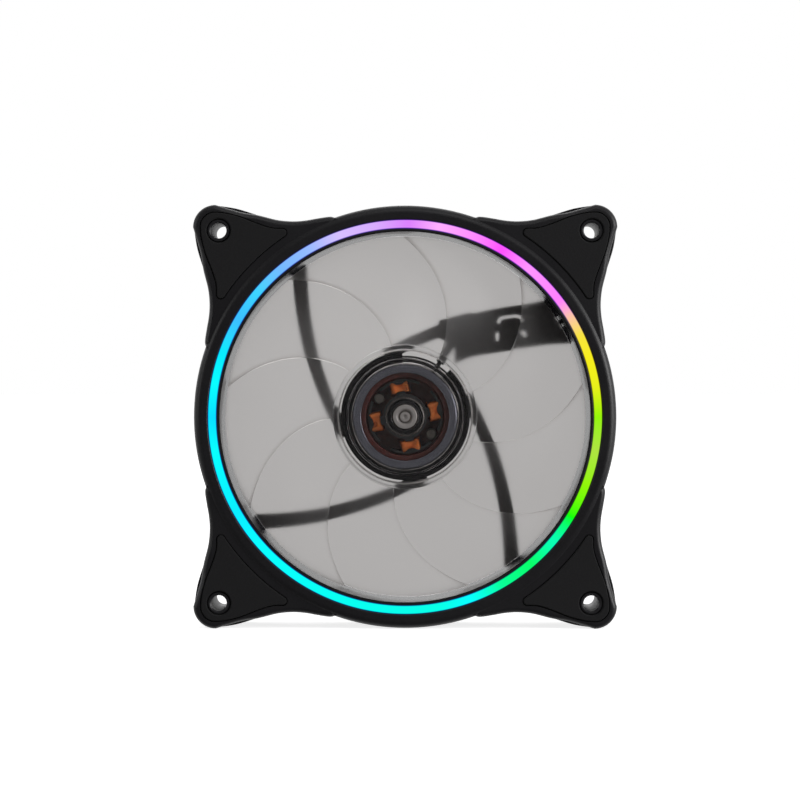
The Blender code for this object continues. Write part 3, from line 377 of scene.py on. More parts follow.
def add_prism(shape, outline, back, front, front_round=0.0, back_round=0.0, steps=3,
              outside=0.0):
    """A prism; its front and back edges are rounded where they lie outside a radius."""
    face = shape.faces.new([shape.verts.new((x, y, back)) for x, y in outline])
    geometry = bmesh.ops.extrude_face_region(shape, geom=[face])["geom"]
    moved = [item for item in geometry if isinstance(item, bmesh.types.BMVert)]
    bmesh.ops.translate(shape, verts=moved, vec=(0, 0, front - back))
    top = next(item for item in geometry if isinstance(item, bmesh.types.BMFace))
    for lid, rounding in ((top, front_round), (face, back_round)):
        if rounding:
            edges = [edge for edge in lid.edges
                     if min(vert.co.xy.length for vert in edge.verts) >= outside]
            bmesh.ops.bevel(shape, geom=edges, offset=rounding, segments=steps,
                            profile=0.5, affect="EDGES", material=-1)


def add_rod(shape, radius, back, front, centre=(0, 0), segments=48):
    """A plain cylinder along the axis."""
    place = Matrix.Translation((centre[0], centre[1], (back + front) / 2))
    bmesh.ops.create_cone(shape, cap_ends=True, segments=segments, radius1=radius,
                          radius2=radius, depth=front - back, matrix=place)


def add_block(shape, size, centre, angle=0.0, rounding=0.0):
    """A box turned about the fan's axis by an angle in degrees, its edges rounded."""
    made = bmesh.ops.create_cube(shape, size=1.0, matrix=Matrix.Diagonal((*size, 1.0)))["verts"]
    bmesh.ops.rotate(shape, verts=made, cent=(0, 0, 0),
                     matrix=Matrix.Rotation(radians(angle), 3, "Z"))
    bmesh.ops.translate(shape, verts=made, vec=centre)
    if rounding:
        edges = list({edge for vert in made for edge in vert.link_edges})
        bmesh.ops.bevel(shape, geom=edges, offset=rounding, segments=2, profile=0.5,
                        affect="EDGES", material=-1)


def shape_object(shape, name="tool"):
    """The bmesh as an object in the scene."""
    bmesh.ops.recalc_face_normals(shape, faces=shape.faces)
    mesh = bpy.data.meshes.new(name)
    shape.to_mesh(mesh)
    shape.free()
    made = bpy.data.objects.new(name, mesh)
    bpy.context.scene.collection.objects.link(made)
    return made


def carved(base, *steps):
    """The base after a run of (operation, tool) booleans, as a bmesh; all of them are used up."""
    body = shape_object(base)
    tools = []
    for operation, tool in steps:
        cutter = shape_object(tool)
        modifier = body.modifiers.new(operation, "BOOLEAN")
        modifier.operation = operation
        modifier.solver = "EXACT"
        modifier.object = cutter
        tools.append(cutter)
    evaluated = body.evaluated_get(bpy.context.evaluated_depsgraph_get())
    result = bmesh.new()
    result.from_mesh(evaluated.to_mesh())
    evaluated.to_mesh_clear()
    for used in [body] + tools:
        mesh = used.data
        bpy.data.objects.remove(used, do_unlink=True)
        bpy.data.meshes.remove(mesh)
    bmesh.ops.remove_doubles(result, verts=result.verts, dist=0.002 * MM)
    bmesh.ops.dissolve_degenerate(result, edges=result.edges, dist=0.002 * MM)
    return result


def finish_piece(name, shape, material, body, replaces=(), sharp=35.0, weighted=True):
    """Stands the bmesh upright as a finished piece that moves with a body."""
    bmesh.ops.transform(shape, matrix=UPRIGHT, verts=shape.verts)
    piece = shape_object(shape, name)
    mesh = piece.data
    mesh.shade_smooth()
    mesh.set_sharp_from_angle(angle=radians(sharp))
    mesh.materials.append(material)
    if weighted:
        modifier = piece.modifiers.new("Even shading", "WEIGHTED_NORMAL")
        modifier.keep_sharp = True
    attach(piece, body)
    if replaces:
        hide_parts(*replaces)
    return piece


# ---------------------------------------------------------------- finishes


def linear(shade):
    """A screen colour as the linear RGBA that shaders take."""
    return [c / 12.92 if c <= 0.04045 else ((c + 0.055) / 1.055) ** 2.4 for c in shade] + [1.0]


class Finish:
    """A Principled material and short ways to wire its patterns."""

    def __init__(self, name, shade, roughness, metallic=0.0, **sockets):
        self.material = bpy.data.materials.new(name)
        self.material.use_nodes = True
        self.nodes = self.material.node_tree.nodes
        self.links = self.material.node_tree.links
        self.shader = self.nodes["Principled BSDF"]
        self.set("Base Color", linear(shade))
        self.set("Roughness", roughness)
        self.set("Metallic", metallic)
        for socket, value in sockets.items():
            self.set(socket.replace("_", " "), value)
        self.shade = linear(shade)

    def set(self, socket, value):
        """Sets one of the shader's sockets."""
        self.shader.inputs[socket].default_value = value

    def link(self, output, socket):
        """Joins an output to one of the shader's sockets."""
        self.links.new(output, self.shader.inputs[socket])

    def add(self, kind, **values):
        """A node with its named inputs set or, where given an output, linked."""
        node = self.nodes.new(kind)
        for name, value in values.items():
            socket = node.inputs[name.replace("_", " ")]
            if isinstance(value, bpy.types.NodeSocket):
                self.links.new(value, socket)
            else:
                socket.default_value = value
        return node

    def place(self, location=(0, 0, 0), rotation=(0, 0, 0), scale=(1, 1, 1)):
        """Object coordinates, moved, turned and scaled."""
        source = self.nodes.new("ShaderNodeTexCoord").outputs["Object"]
        return self.add("ShaderNodeMapping", Vector=source, Location=location,
                        Rotation=rotation, Scale=scale).outputs["Vector"]

    def from_axis(self):
        """How far a point is from the fan's axis."""
        flat = self.place(location=(0, 0, -AXIS_Z), scale=(1, 0, 1))
        node = self.nodes.new("ShaderNodeVectorMath")
        node.operation = "LENGTH"
        self.links.new(flat, node.inputs[0])
        return node.outputs["Value"]

    def noise(self, scale, detail=2.0, vector=None):
        """Noise with a feature size of 1 / scale metres."""
        vector = vector or self.place()
        return self.add("ShaderNodeTexNoise", Vector=vector, Scale=scale,
                        Detail=detail).outputs["Fac"]

    def spread(self, value, low, high, start=0.3, end=0.7):
        """Maps a pattern's usual range onto another one."""
        node = self.add("ShaderNodeMapRange", Value=value, From_Min=start, From_Max=end,
                        To_Min=low, To_Max=high)
        return node.outputs["Result"]

    def shaded(self, value, low, high):
        """The finish's colour, made darker or lighter by a pattern."""
        level = self.spread(value, low, high)
        node = self.nodes.new("ShaderNodeMix")
        node.data_type = "RGBA"
        node.blend_type = "MULTIPLY"
        node.inputs["Factor"].default_value = 1.0
        node.inputs["A"].default_value = self.shade
        self.links.new(level, node.inputs["B"])
        self.link(node.outputs["Result"], "Base Color")

    def bump(self, height, distance, strength=1.0):
        """Bumps of a height in metres."""
        node = self.add("ShaderNodeBump", Height=height, Distance=distance, Strength=strength)
        self.link(node.outputs["Normal"], "Normal")


def moulded(name, shade, roughness, grain=2600, depth=0.03 * MM):
    """Satin moulded plastic with a fine spark-eroded grain."""
    finish = Finish(name, shade, roughness)
    fine = finish.noise(grain, 3.0)
    broad = finish.noise(60, 2.0)
    finish.shaded(fine, 0.82, 1.2)
    finish.link(finish.spread(broad, roughness - 0.05, roughness + 0.07), "Roughness")
    finish.bump(fine, depth)
    return finish


def rubber(name, shade):
    """Soft elastomer: matt, with a coarser grain than the housing."""
    finish = Finish(name, shade, 0.85, Sheen_Weight=0.05, Sheen_Roughness=0.6)
    fine = finish.noise(3200, 4.0)
    finish.shaded(fine, 0.65, 1.4)
    finish.link(finish.spread(fine, 0.78, 0.95), "Roughness")
    finish.bump(fine, 0.05 * MM)
    return finish.material


def clear_plastic(name, shade, hub_radius):
    """Clear plastic: polished over the motor, satin outside it, with slow waves."""
    finish = Finish(name, shade, 0.25, IOR=1.30, Transmission_Weight=1.0,
                    Specular_IOR_Level=0.4)
    reach = finish.from_axis()
    for socket, inside, outside in (("Roughness", 0.05, 0.36), ("IOR", 1.30, 1.14),
                                    ("Transmission Weight", 1, 0.97)):
        finish.link(finish.spread(reach, inside, outside, hub_radius - MM / 2,
                                  hub_radius + MM / 2), socket)
    finish.bump(finish.noise(90, 1.0), 0.02 * MM, 0.3)
    return finish.material


def turned_metal(name, shade, roughness, metallic=1.0):
    """Metal turned on a lathe, with fine lines round the fan's axis."""
    finish = Finish(name, shade, roughness, metallic)
    lines = finish.noise(2500, 3.0, finish.from_axis())
    finish.shaded(lines, 0.92, 1.08)
    finish.link(finish.spread(lines, roughness - 0.04, roughness + 0.05), "Roughness")
    finish.bump(lines, 0.0004 * MM)
    return finish.material


def speckled(name, shade, roughness, scale=900, low=0.8, high=1.2, metallic=0.0,
             depth=0.01 * MM):
    """A finish with a fine speckle, such as laminate, sintered metal or ceramic."""
    finish = Finish(name, shade, roughness, metallic)
    grain = finish.noise(scale, 4.0)
    finish.shaded(grain, low, high)
    finish.link(finish.spread(grain, roughness - 0.05, roughness + 0.08), "Roughness")
    finish.bump(grain, depth)
    return finish.material


def copper_wire(name, shade):
    """Enamelled winding wire, varying a little from turn to turn."""
    finish = Finish(name, shade, 0.3, 1.0, Coat_Weight=0.4, Coat_Roughness=0.15)
    patches = finish.noise(420, 2.0)
    finish.shaded(patches, 0.7, 1.2)
    finish.link(finish.spread(patches, 0.24, 0.42), "Roughness")
    return finish.material


def laminated(name, shade):
    """A stack of half-millimetre steel sheets, seen as lines round the core."""
    finish = Finish(name, shade, 0.45, 1.0)
    wave = finish.nodes.new("ShaderNodeTexWave")
    wave.bands_direction = "Y"
    finish.links.new(finish.place(), wave.inputs["Vector"])
    wave.inputs["Scale"].default_value = 1 / (0.5 * MM) / 20 * pi
    finish.shaded(wave.outputs["Fac"], 0.6, 1.1)
    finish.bump(wave.outputs["Fac"], 0.03 * MM)
    return finish.material


# colours round the lit ring: angle, then the named light colour or a mix of two and its share
LIGHT_STOPS = ((0, "lime", "lime", 0), (9, "lime", "yellow", 0.85), (18, "yellow", "yellow", 0),
               (25, "yellow", "pink", 0.15), (31, "yellow", "pink", 0.6),
               (37, "magenta", "pink", 0.5), (50, "magenta", "pink", 0.75),
               (60, "magenta", "magenta", 0), (68, "magenta", "pink", 0.6),
               (80, "pink", "pink", 0), (89, "violet", "violet", 0), (99, "lilac", "violet", 0.3),
               (110, "lilac", "lilac", 0), (120, "lilac", "sky", 0.55), (130, "sky", "lilac", 0.15),
               (140, "sky", "cyan", 0.4), (150, "azure", "sky", 0.6), (160, "azure", "cyan", 0.6),
               (170, "cyan", "cyan", 0), (180, "azure", "cyan", 0.4), (190, "cyan", "cyan", 0),
               (210, "cyan", "azure", 0.3), (222, "cyan", "cyan", 0), (280, "aqua", "aqua", 0),
               (290, "cyan", "cyan", 0), (300, "aqua", "green", 0.35),
               (311, "aqua", "green", 0.55), (320, "aqua", "green", 0.2),
               (329, "green", "green", 0), (340, "lime", "lime", 0), (350, "lime", "pink", 0.25))


def lit_diffuser(colours, inner, outer):
    """Milky plastic lit from behind, its colour running round the ring."""
    finish = Finish("milky_diffuser", (0.9, 0.93, 0.95), 0.4)
    centred = finish.place(location=(0, 0, -AXIS_Z))
    axes = finish.add("ShaderNodeSeparateXYZ", Vector=centred)
    turn = finish.nodes.new("ShaderNodeMath")
    turn.operation = "ARCTAN2"
    finish.links.new(axes.outputs["Z"], turn.inputs[0])
    finish.links.new(axes.outputs["X"], turn.inputs[1])
    share = finish.nodes.new("ShaderNodeMath")
    share.operation = "DIVIDE"
    share.inputs[1].default_value = 2 * pi
    finish.links.new(turn.outputs[0], share.inputs[0])
    whole = finish.nodes.new("ShaderNodeMath")
    whole.operation = "FRACT"
    finish.links.new(share.outputs[0], whole.inputs[0])
    ramp = finish.nodes.new("ShaderNodeValToRGB")
    finish.links.new(whole.outputs[0], ramp.inputs["Fac"])
    stops = ramp.color_ramp.elements
    while len(stops) < len(LIGHT_STOPS) + 1:
        stops.new(0.5)
    shades = []
    for angle, first, second, mix in LIGHT_STOPS:
        pair = zip(getattr(colours, first), getattr(colours, second))
        shades.append((angle / 360, linear([a * (1 - mix) + b * mix for a, b in pair])))
    shades.append((1.0, shades[0][1]))
    for stop, (position, shade) in zip(stops, shades):
        stop.position = position
        stop.color = shade
    edge = finish.nodes.new("ShaderNodeValToRGB")
    finish.links.new(finish.spread(finish.from_axis(), 0, 1, inner, outer), edge.inputs["Fac"])
    edges = edge.color_ramp.elements
    for position in (0.10, 0.92):
        edges.new(position).color = (1, 1, 1, 1)
    edges[0].color = (0.03, 0.0, 0.35, 1)
    edges[-1].color = (0.05, 0.01, 0.40, 1)
    product = finish.nodes.new("ShaderNodeMix")
    product.data_type = "RGBA"
    product.blend_type = "MULTIPLY"
    product.inputs["Factor"].default_value = 1.0
    finish.links.new(ramp.outputs["Color"], product.inputs["A"])
    finish.links.new(edge.outputs["Color"], product.inputs["B"])
    finish.link(product.outputs["Result"], "Emission Color")
    finish.set("Emission Strength", 1.0)
    finish.set("Base Color", (0.005, 0.005, 0.005, 1.0))
    finish.set("Specular IOR Level", 0.0)
    return finish.material


# ---------------------------------------------------------------- pieces of the frame


def ring_sizes():
    """Radii of cover, diffuser and duct, from the frame settings."""
    sizes = bpy.context.scene.fan_frame
    cover_inner = sizes.ring_radius - sizes.cover_rim
    diffuser_outer = cover_inner - LIP_GAP
    diffuser_inner = diffuser_outer - sizes.diffuser_width
    duct = diffuser_inner - LIP_GAP - sizes.duct_lip
    return cover_inner, diffuser_outer, diffuser_inner, duct


def hole_places():
    """Centres of the four screw holes, from the upper right one counter-clockwise."""
    reach = (HALF - bpy.context.scene.fan_frame.hole_inset) * sqrt(2)
    return [polar(45 + 90 * corner, reach) for corner in range(4)]


def pad_recesses(back, front):
    """The hollows that pads lie in, with bosses left standing round the holes."""
    hollows = bmesh.new()
    bosses = bmesh.new()
    for corner, hole in enumerate(hole_places()):
        add_prism(hollows, turned_outline(pad_outline(LIP_GAP), 90 * corner), back, front)
        add_rod(bosses, bpy.context.scene.fan_frame.boss_radius, back - MM, front + MM, hole)
    return carved(hollows, ("DIFFERENCE", bosses))


def housing_shape():
    """The main moulding, with fillets on its edges."""
    sizes = bpy.context.scene.fan_frame
    hub = bpy.context.scene.fan_hub
    duct = ring_sizes()[3]
    ring = sizes.ring_radius
    barrel = duct + sizes.barrel_wall
    front = BEZEL_BACK - LIP_GAP
    channel = front - 4.5 * MM
    floor = channel - 1.5 * MM
    channel_outer = ring - 2.0 * MM
    lip = duct + sizes.duct_lip
    edge = sizes.edge_break
    neck = duct - sizes.duct_taper
    profile = ((neck, 0.8 * MM), (neck + 0.8 * MM, 0), (ring, 0), (ring, 3 * MM), (barrel, 3 * MM),
               (barrel, floor - sizes.barrel_wall), (ring, floor), (ring, front),
               (channel_outer, front), (channel_outer, channel), (lip, channel), (lip, DEPTH),
               (duct, DEPTH))
    body = bmesh.new()
    add_turned(body, softened(profile, edge))

    ears = bmesh.new()
    posts = bmesh.new()
    webs = bmesh.new()
    rear = ear_outline(HOUSING_FLANK, duct + sizes.barrel_wall / 2)
    fore = ear_outline(HOUSING_FLANK, channel_outer + EAR_ROOT)
    low = sizes.ear_thick / 2
    high = front - sizes.ear_thick / 2
    for corner, hole in enumerate(hole_places()):
        add_prism(ears, turned_outline(rear, 90 * corner), EAR_SINK, sizes.ear_thick, edge,
                  3 * edge, 3, ring)
        add_prism(ears, turned_outline(fore, 90 * corner), front - sizes.ear_thick + EAR_SINK,
                  front - EAR_SINK, edge, edge, 3, ring)
        add_rod(posts, 5 * MM, low, high, hole)
        before = len(webs.verts)
        side = ((duct + sizes.barrel_wall / 2, low), (hole.length - 3 * MM, low),
                (hole.length - 3 * MM, high), (channel_outer + EAR_ROOT, high),
                (channel_outer + EAR_ROOT, channel - 0.7 * MM),
                (duct + sizes.barrel_wall / 2, channel - 0.7 * MM))
        add_prism(webs, side, -MM, MM)
        fresh = list(webs.verts)[before:]
        stand = (Matrix.Rotation(radians(45 + 90 * corner), 4, "Z")
                 @ Matrix.Rotation(pi / 2, 4, "X"))
        bmesh.ops.transform(webs, matrix=stand, verts=fresh)

    base = motor_base_shape(hub)
    struts = bmesh.new()
    for number in range(STRUT_COUNT):
        outline = strut_outline(STRUT_OUTER_ANGLE + number * 360 / STRUT_COUNT,
                                duct + sizes.duct_lip / 2, hub.base_radius - 0.5 * MM,
                                hub.strut_bend)
        add_prism(struts, outline, STRUT_BACK, STRUT_FRONT, 0.8 * MM, 0.6 * MM, 4)
    trough = trough_shape(duct + sizes.duct_lip / 2 + 0.1 * MM)
    bridge = bmesh.new()
    start = hub.base_radius - 0.5 * MM
    trough_inner = between(TROUGH_INNER_SHARE)
    end = trough_inner + TROUGH_WALL
    add_block(bridge, (end - start, 2.4 * MM, 1.4 * MM),
              (*polar(BRIDGE_ANGLE, (start + end) / 2), 4.7 * MM), BRIDGE_ANGLE, 0.3 * MM)

    holes = bmesh.new()
    mouths = bmesh.new()
    for hole in hole_places():
        add_rod(holes, sizes.hole_radius, -MM, DEPTH, hole)
        place = Matrix.Translation((*hole, 0.1 * MM))
        bmesh.ops.create_cone(mouths, cap_ends=True, segments=48, radius1=sizes.hole_radius + 0.5 * MM,
                              radius2=sizes.hole_radius, depth=0.4 * MM, matrix=place)
    outlet = bmesh.new()
    add_block(outlet, (channel_outer - duct + MM, 3.4 * MM, 5.4 * MM),
              (*polar(OUTLET_ANGLE, (duct - MM + channel_outer) / 2), 3.5 * MM), OUTLET_ANGLE)
    notch = bmesh.new()
    add_block(notch, (4 * TROUGH_WALL, 2.2 * MM, 3.7 * MM),
              (*polar(BRIDGE_ANGLE, trough_inner), 1.85 * MM), BRIDGE_ANGLE)
    riser = bmesh.new()
    add_rod(riser, 1.4 * MM, channel - 4.5 * MM, channel + MM,
            polar(OUTLET_ANGLE, barrel + 1.1 * MM), 24)
    return carved(body, ("UNION", struts), ("UNION", base), ("UNION", trough), ("UNION", bridge),
                  ("UNION", ears), ("UNION", posts), ("UNION", webs),
                  ("DIFFERENCE", holes), ("DIFFERENCE", mouths),
                  ("DIFFERENCE", pad_recesses(-MM, sizes.pad_thick + LIP_GAP)),
                  ("DIFFERENCE", clip_slots()), ("DIFFERENCE", outlet), ("DIFFERENCE", notch),
                  ("DIFFERENCE", riser))


def motor_base_shape(hub):
    """The dish behind the motor, with its rims, bearing tube and window."""
    base = bmesh.new()
    rim = hub.base_radius - 1.0 * MM
    dish = ((hub.tube_inner, 0.8 * MM), (rim, 0.8 * MM), (rim, 0), (hub.base_radius, 0),
            (hub.base_radius, 5.4 * MM), (rim, 5.4 * MM), (rim, 2.8 * MM),
            (hub.tube_outer, 2.8 * MM), (hub.tube_outer, 17 * MM), (hub.tube_inner, 17 * MM))
    add_turned(base, softened(dish, 0.22 * MM), 128)
    window = bmesh.new()
    outline = (arc(CENTRE, hub.base_radius + 0.5 * MM, *WINDOW_ANGLES, 24)
               + arc(CENTRE, WINDOW_RADIUS, *reversed(WINDOW_ANGLES), 24))
    add_prism(window, outline, -MM, 6.4 * MM)
    return carved(base, ("DIFFERENCE", window))


def trough_shape(reach):
    """The wide fourth arm: closed in front, open behind, where the leads lie."""
    shape = bmesh.new()
    add_prism(shape, trough_outline(reach), STRUT_BACK, STRUT_FRONT, 0.5 * MM)
    bmesh.ops.recalc_face_normals(shape, faces=shape.faces)
    floor = min(shape.faces, key=lambda face: face.calc_center_median().z)
    bmesh.ops.inset_region(shape, faces=[floor], thickness=TROUGH_WALL, use_even_offset=True)
    depth = STRUT_FRONT - TROUGH_WALL - STRUT_BACK
    bmesh.ops.translate(shape, verts=floor.verts, vec=(0, 0, depth))
    return shape


def clip_slots():
    """The lead clip's slots: an arch over the tab and two short slots under it."""
    centre = polar(CLIP_ANGLE, between(CLIP_SHARE))
    arch = [centre + Vector(point) * MM for point in (
        (-4.75, 0.5), (-3.95, 0.35), (-3.5, 1.35), (-2.4, 1.7), (0.4, 2.05), (1.7, 1.85), (2.4, 0.9),
        (3.2, 1.0), (2.85, 2.0), (2.0, 2.65), (0.9, 2.95), (-2.5, 2.6), (-3.9, 2.2), (-4.6, 1.4))]
    left = [centre + Vector(point) * MM for point in ((-5.2, -2.2), (-5.0, -4.7), (-4.3, -4.6),
                                                      (-4.1, -2.1))]
    right = [centre + Vector(point) * MM for point in ((2.3, -2.0), (3.5, -3.9), (4.1, -3.2),
                                                       (3.7, -1.8))]
    slots = bmesh.new()
    for shape in (arch, softened(left, 0.3 * MM), softened(right, 0.3 * MM)):
        add_prism(slots, shape, -MM, 7 * MM)
    return slots


def front_cover_shape():
    """The front cover: the ring outside the light, and four ears with their recesses."""
    sizes = bpy.context.scene.fan_frame
    inner = ring_sizes()[0]
    face = DEPTH - sizes.ear_drop
    crest = Vector((sizes.ring_radius - sizes.ring_round, DEPTH - sizes.ring_round))
    profile = [Vector((inner, BEZEL_BACK)), Vector((sizes.ring_radius, BEZEL_BACK))]
    profile += arc(crest, sizes.ring_round, 0, 90, 14)
    profile += arc(Vector((inner + 0.4 * MM, DEPTH - 0.4 * MM)), 0.4 * MM, 90, 180, 5)
    body = bmesh.new()
    add_turned(body, profile, 192)
    ears = bmesh.new()
    outline = ear_outline(COVER_FLANK, inner + EAR_ROOT)
    for corner in range(4):
        add_prism(ears, turned_outline(outline, 90 * corner), BEZEL_BACK, face, sizes.ear_edge,
                  0.1 * MM, 6, sizes.ring_radius - 0.2 * MM)
    holes = bmesh.new()
    mouths = bmesh.new()
    for hole in hole_places():
        add_rod(holes, sizes.hole_radius, 0, DEPTH + MM, hole)
        place = Matrix.Translation((*hole, face - 0.1 * MM))
        bmesh.ops.create_cone(mouths, cap_ends=True, segments=48, radius1=sizes.hole_radius,
                              radius2=sizes.hole_radius + 0.5 * MM, depth=0.4 * MM, matrix=place)
    recess_back = face - sizes.pad_thick - LIP_GAP
    return carved(body, ("UNION", ears), ("DIFFERENCE", pad_recesses(recess_back, DEPTH + MM)),
                  ("DIFFERENCE", holes), ("DIFFERENCE", mouths))


def pad_shape(corner, back, front):
    """A soft pad with rounded edges and a hole for the boss."""
    sizes = bpy.context.scene.fan_frame
    shape = bmesh.new()
    add_prism(shape, turned_outline(pad_outline(0), 90 * corner), back, front, sizes.pad_round,
              sizes.pad_round)
    bore = bmesh.new()
    hole = hole_places()[corner]
    add_rod(bore, sizes.pad_hole, back - MM, front + MM, hole)
    place = Matrix.Translation((*hole, front - 0.1 * MM))
    mouth = bmesh.new()
    bmesh.ops.create_cone(mouth, cap_ends=True, segments=48, radius1=sizes.pad_hole,
                          radius2=sizes.pad_hole + 0.4 * MM, depth=0.4 * MM, matrix=place)
    return carved(shape, ("DIFFERENCE", bore), ("DIFFERENCE", mouth))


# ---------------------------------------------------------------- pieces of the rotor


BLADE_COVER = 1.03              # share of its pitch that a blade fills
BLADE_SWEEP = 30.0
BLADE_SWEEP_POWER = 1.4         # above 1 the sweep grows towards the tip
BLADE_CAMBER = 1.1 * MM
BLADE_ROOT = (7.6 * MM, 20.6 * MM)      # trailing and leading edge, along the axis
BLADE_TIP = (9.2 * MM, 20.2 * MM)
TIP_GAPS = (0.75 * MM, 1.2 * MM)        # to the duct's front, at trailing and leading edge


def blade_place(span, chord, first_angle, root, duct):
    """A point on a blade's middle surface; span and chord run from 0 to 1."""
    pitch = 360 / bpy.context.scene.fan_hub.blade_count
    sweep = BLADE_SWEEP * span ** BLADE_SWEEP_POWER
    angle = first_angle + sweep + (chord - 0.5) * pitch * BLADE_COVER
    back = BLADE_ROOT[0] + (BLADE_TIP[0] - BLADE_ROOT[0]) * span
    front = BLADE_ROOT[1] + (BLADE_TIP[1] - BLADE_ROOT[1]) * span
    tip = duct - TIP_GAPS[0] - (TIP_GAPS[1] - TIP_GAPS[0]) * chord
    height = back + (front - back) * chord + BLADE_CAMBER * sin(pi * chord)
    return Vector((*polar(angle, root + (tip - root) * span), height))


def add_blade(shape, first_angle, root, duct):
    """One blade: a curved sheet, thickest in the middle and thin at its edges."""
    hub = bpy.context.scene.fan_hub
    grid = bmesh.ops.create_grid(shape, x_segments=30, y_segments=22, size=0.5)["verts"]
    thickness = {}
    for vert in grid:
        span = vert.co.x + 0.5
        chord = vert.co.y + 0.5
        fullness = (1 - (2 * chord - 1) ** 2) * (1 - max(span, 0.0) ** 10)
        thickness[vert] = hub.blade_edge + (hub.blade_thick - hub.blade_edge) * fullness
        vert.co = blade_place(span, chord, first_angle, root, duct)
    faces = list({face for vert in grid for face in vert.link_faces})
    for face in faces:
        face.normal_update()
    for vert in grid:
        vert.normal_update()
    copy = bmesh.ops.duplicate(shape, geom=grid + faces)
    twins = copy["vert_map"]
    copied_faces = [item for item in copy["geom"] if isinstance(item, bmesh.types.BMFace)]
    bmesh.ops.reverse_faces(shape, faces=copied_faces)
    for vert in grid:
        offset = vert.normal * (thickness[vert] / 2)
        twin = twins[vert]
        twin.co = vert.co - offset
        vert.co = vert.co + offset
    rims = [edge for face in faces + copied_faces for edge in face.edges if edge.is_boundary]
    bmesh.ops.bridge_loops(shape, edges=list(set(rims)))


def impeller_shape():
    """The clear hub with its inner sleeve and bush boss, and the blades."""
    hub = bpy.context.scene.fan_hub
    outer = hub.base_radius + 0.5 * MM + hub.hub_wall
    inner = outer - hub.hub_wall
    front = front_of("impeller")
    plate = front - hub.hub_plate
    sleeve = radius_of("rotor_yoke") + LIP_GAP
    bush = radius_of("shaft_bush") + LIP_GAP
    profile = ((inner, 6.4 * MM), (outer, 6.4 * MM), (outer, front), (bush, front),
               (bush, 17.7 * MM), (bush + 1.6 * MM, 17.7 * MM), (bush + 1.6 * MM, plate),
               (sleeve, plate), (sleeve, 9 * MM), (sleeve + 1.2 * MM, 9 * MM),
               (sleeve + 1.2 * MM, plate), (inner, plate))
    body = bmesh.new()
    add_turned(body, softened(profile, 0.45 * MM, 4), 160)
    blades = bmesh.new()
    duct = ring_sizes()[3]
    for number in range(hub.blade_count):
        add_blade(blades, number * 360 / hub.blade_count, outer - hub.hub_wall / 2, duct)
    return carved(body, ("UNION", blades))


def add_capped(shape, profile, segments=64, centre=(0, 0)):
    """Turns an open profile, from the axis and back to it, into a solid with closed ends."""
    before = set(shape.verts)
    points = [shape.verts.new((radius, 0, height)) for radius, height in profile]
    edges = [shape.edges.new(pair) for pair in zip(points, points[1:])]
    bmesh.ops.spin(shape, geom=points + edges, axis=(0, 0, 1), cent=(0, 0, 0), angle=2 * pi,
                   steps=segments, use_merge=True)
    made = [vert for vert in shape.verts if vert not in before]
    bmesh.ops.remove_doubles(shape, verts=made, dist=0.001 * MM)
    made = [vert for vert in shape.verts if vert not in before]
    bmesh.ops.translate(shape, verts=made, vec=(*centre, 0))


def wound_wire(name, points, diameter, sides=2):
    """A round wire along the points, as a bmesh with closed ends."""
    data = bpy.data.curves.new(name, "CURVE")
    data.dimensions = "3D"
    data.bevel_depth = diameter / 2
    data.bevel_resolution = sides
    data.use_fill_caps = True
    spline = data.splines.new("POLY")
    spline.points.add(len(points) - 1)
    for place, point in zip(spline.points, points):
        place.co = (*point, 1.0)
    wire = bpy.data.objects.new(name, data)
    bpy.context.scene.collection.objects.link(wire)
    evaluated = wire.evaluated_get(bpy.context.evaluated_depsgraph_get())
    shape = bmesh.new()
    shape.from_mesh(evaluated.to_mesh())
    evaluated.to_mesh_clear()
    bpy.data.objects.remove(wire, do_unlink=True)
    bpy.data.curves.remove(data)
    bmesh.ops.remove_doubles(shape, verts=shape.verts, dist=0.001 * MM)
    return shape


def coil_points(angle, start, end, half_width, half_height, wire):
    """The wire's path round an arm, in layers; in front its corners splay outwards."""
    middle = 11 * MM
    turns = int((end - start) / wire)
    layers = 4
    steps = 28
    points = []
    for layer in range(layers):
        grow = wire * (layer + 0.5)
        for step in range(turns * steps):
            along = step / (turns * steps)
            if layer % 2:
                along = 1 - along
            turn = 2 * pi * step / steps
            side = Vector((cos(turn), sin(turn)))
            reach = 1 / (abs(side.x) ** 10 + abs(side.y) ** 10) ** 0.1
            across = side.x * reach * (half_width + grow)
            height = side.y * reach * (half_height + grow)
            corner = min(1.0, (abs(across) / half_width) ** 3)
            in_front = min(1.0, max(0.0, (height - 4.2 * MM) / (0.5 * MM)))
            radial = (start + end) / 2 + (along - 0.5) * (end - start) * (0.72 + 0.28 * corner)
            radial += in_front * (0.35 + 0.45 * corner * along) * MM
            height += in_front * (corner - 0.8) * 0.5 * MM
            place = Matrix.Rotation(radians(angle), 2) @ Vector((radial, across))
            points.append((*place, middle + height))
    return points


# ---------------------------------------------------------------- operators


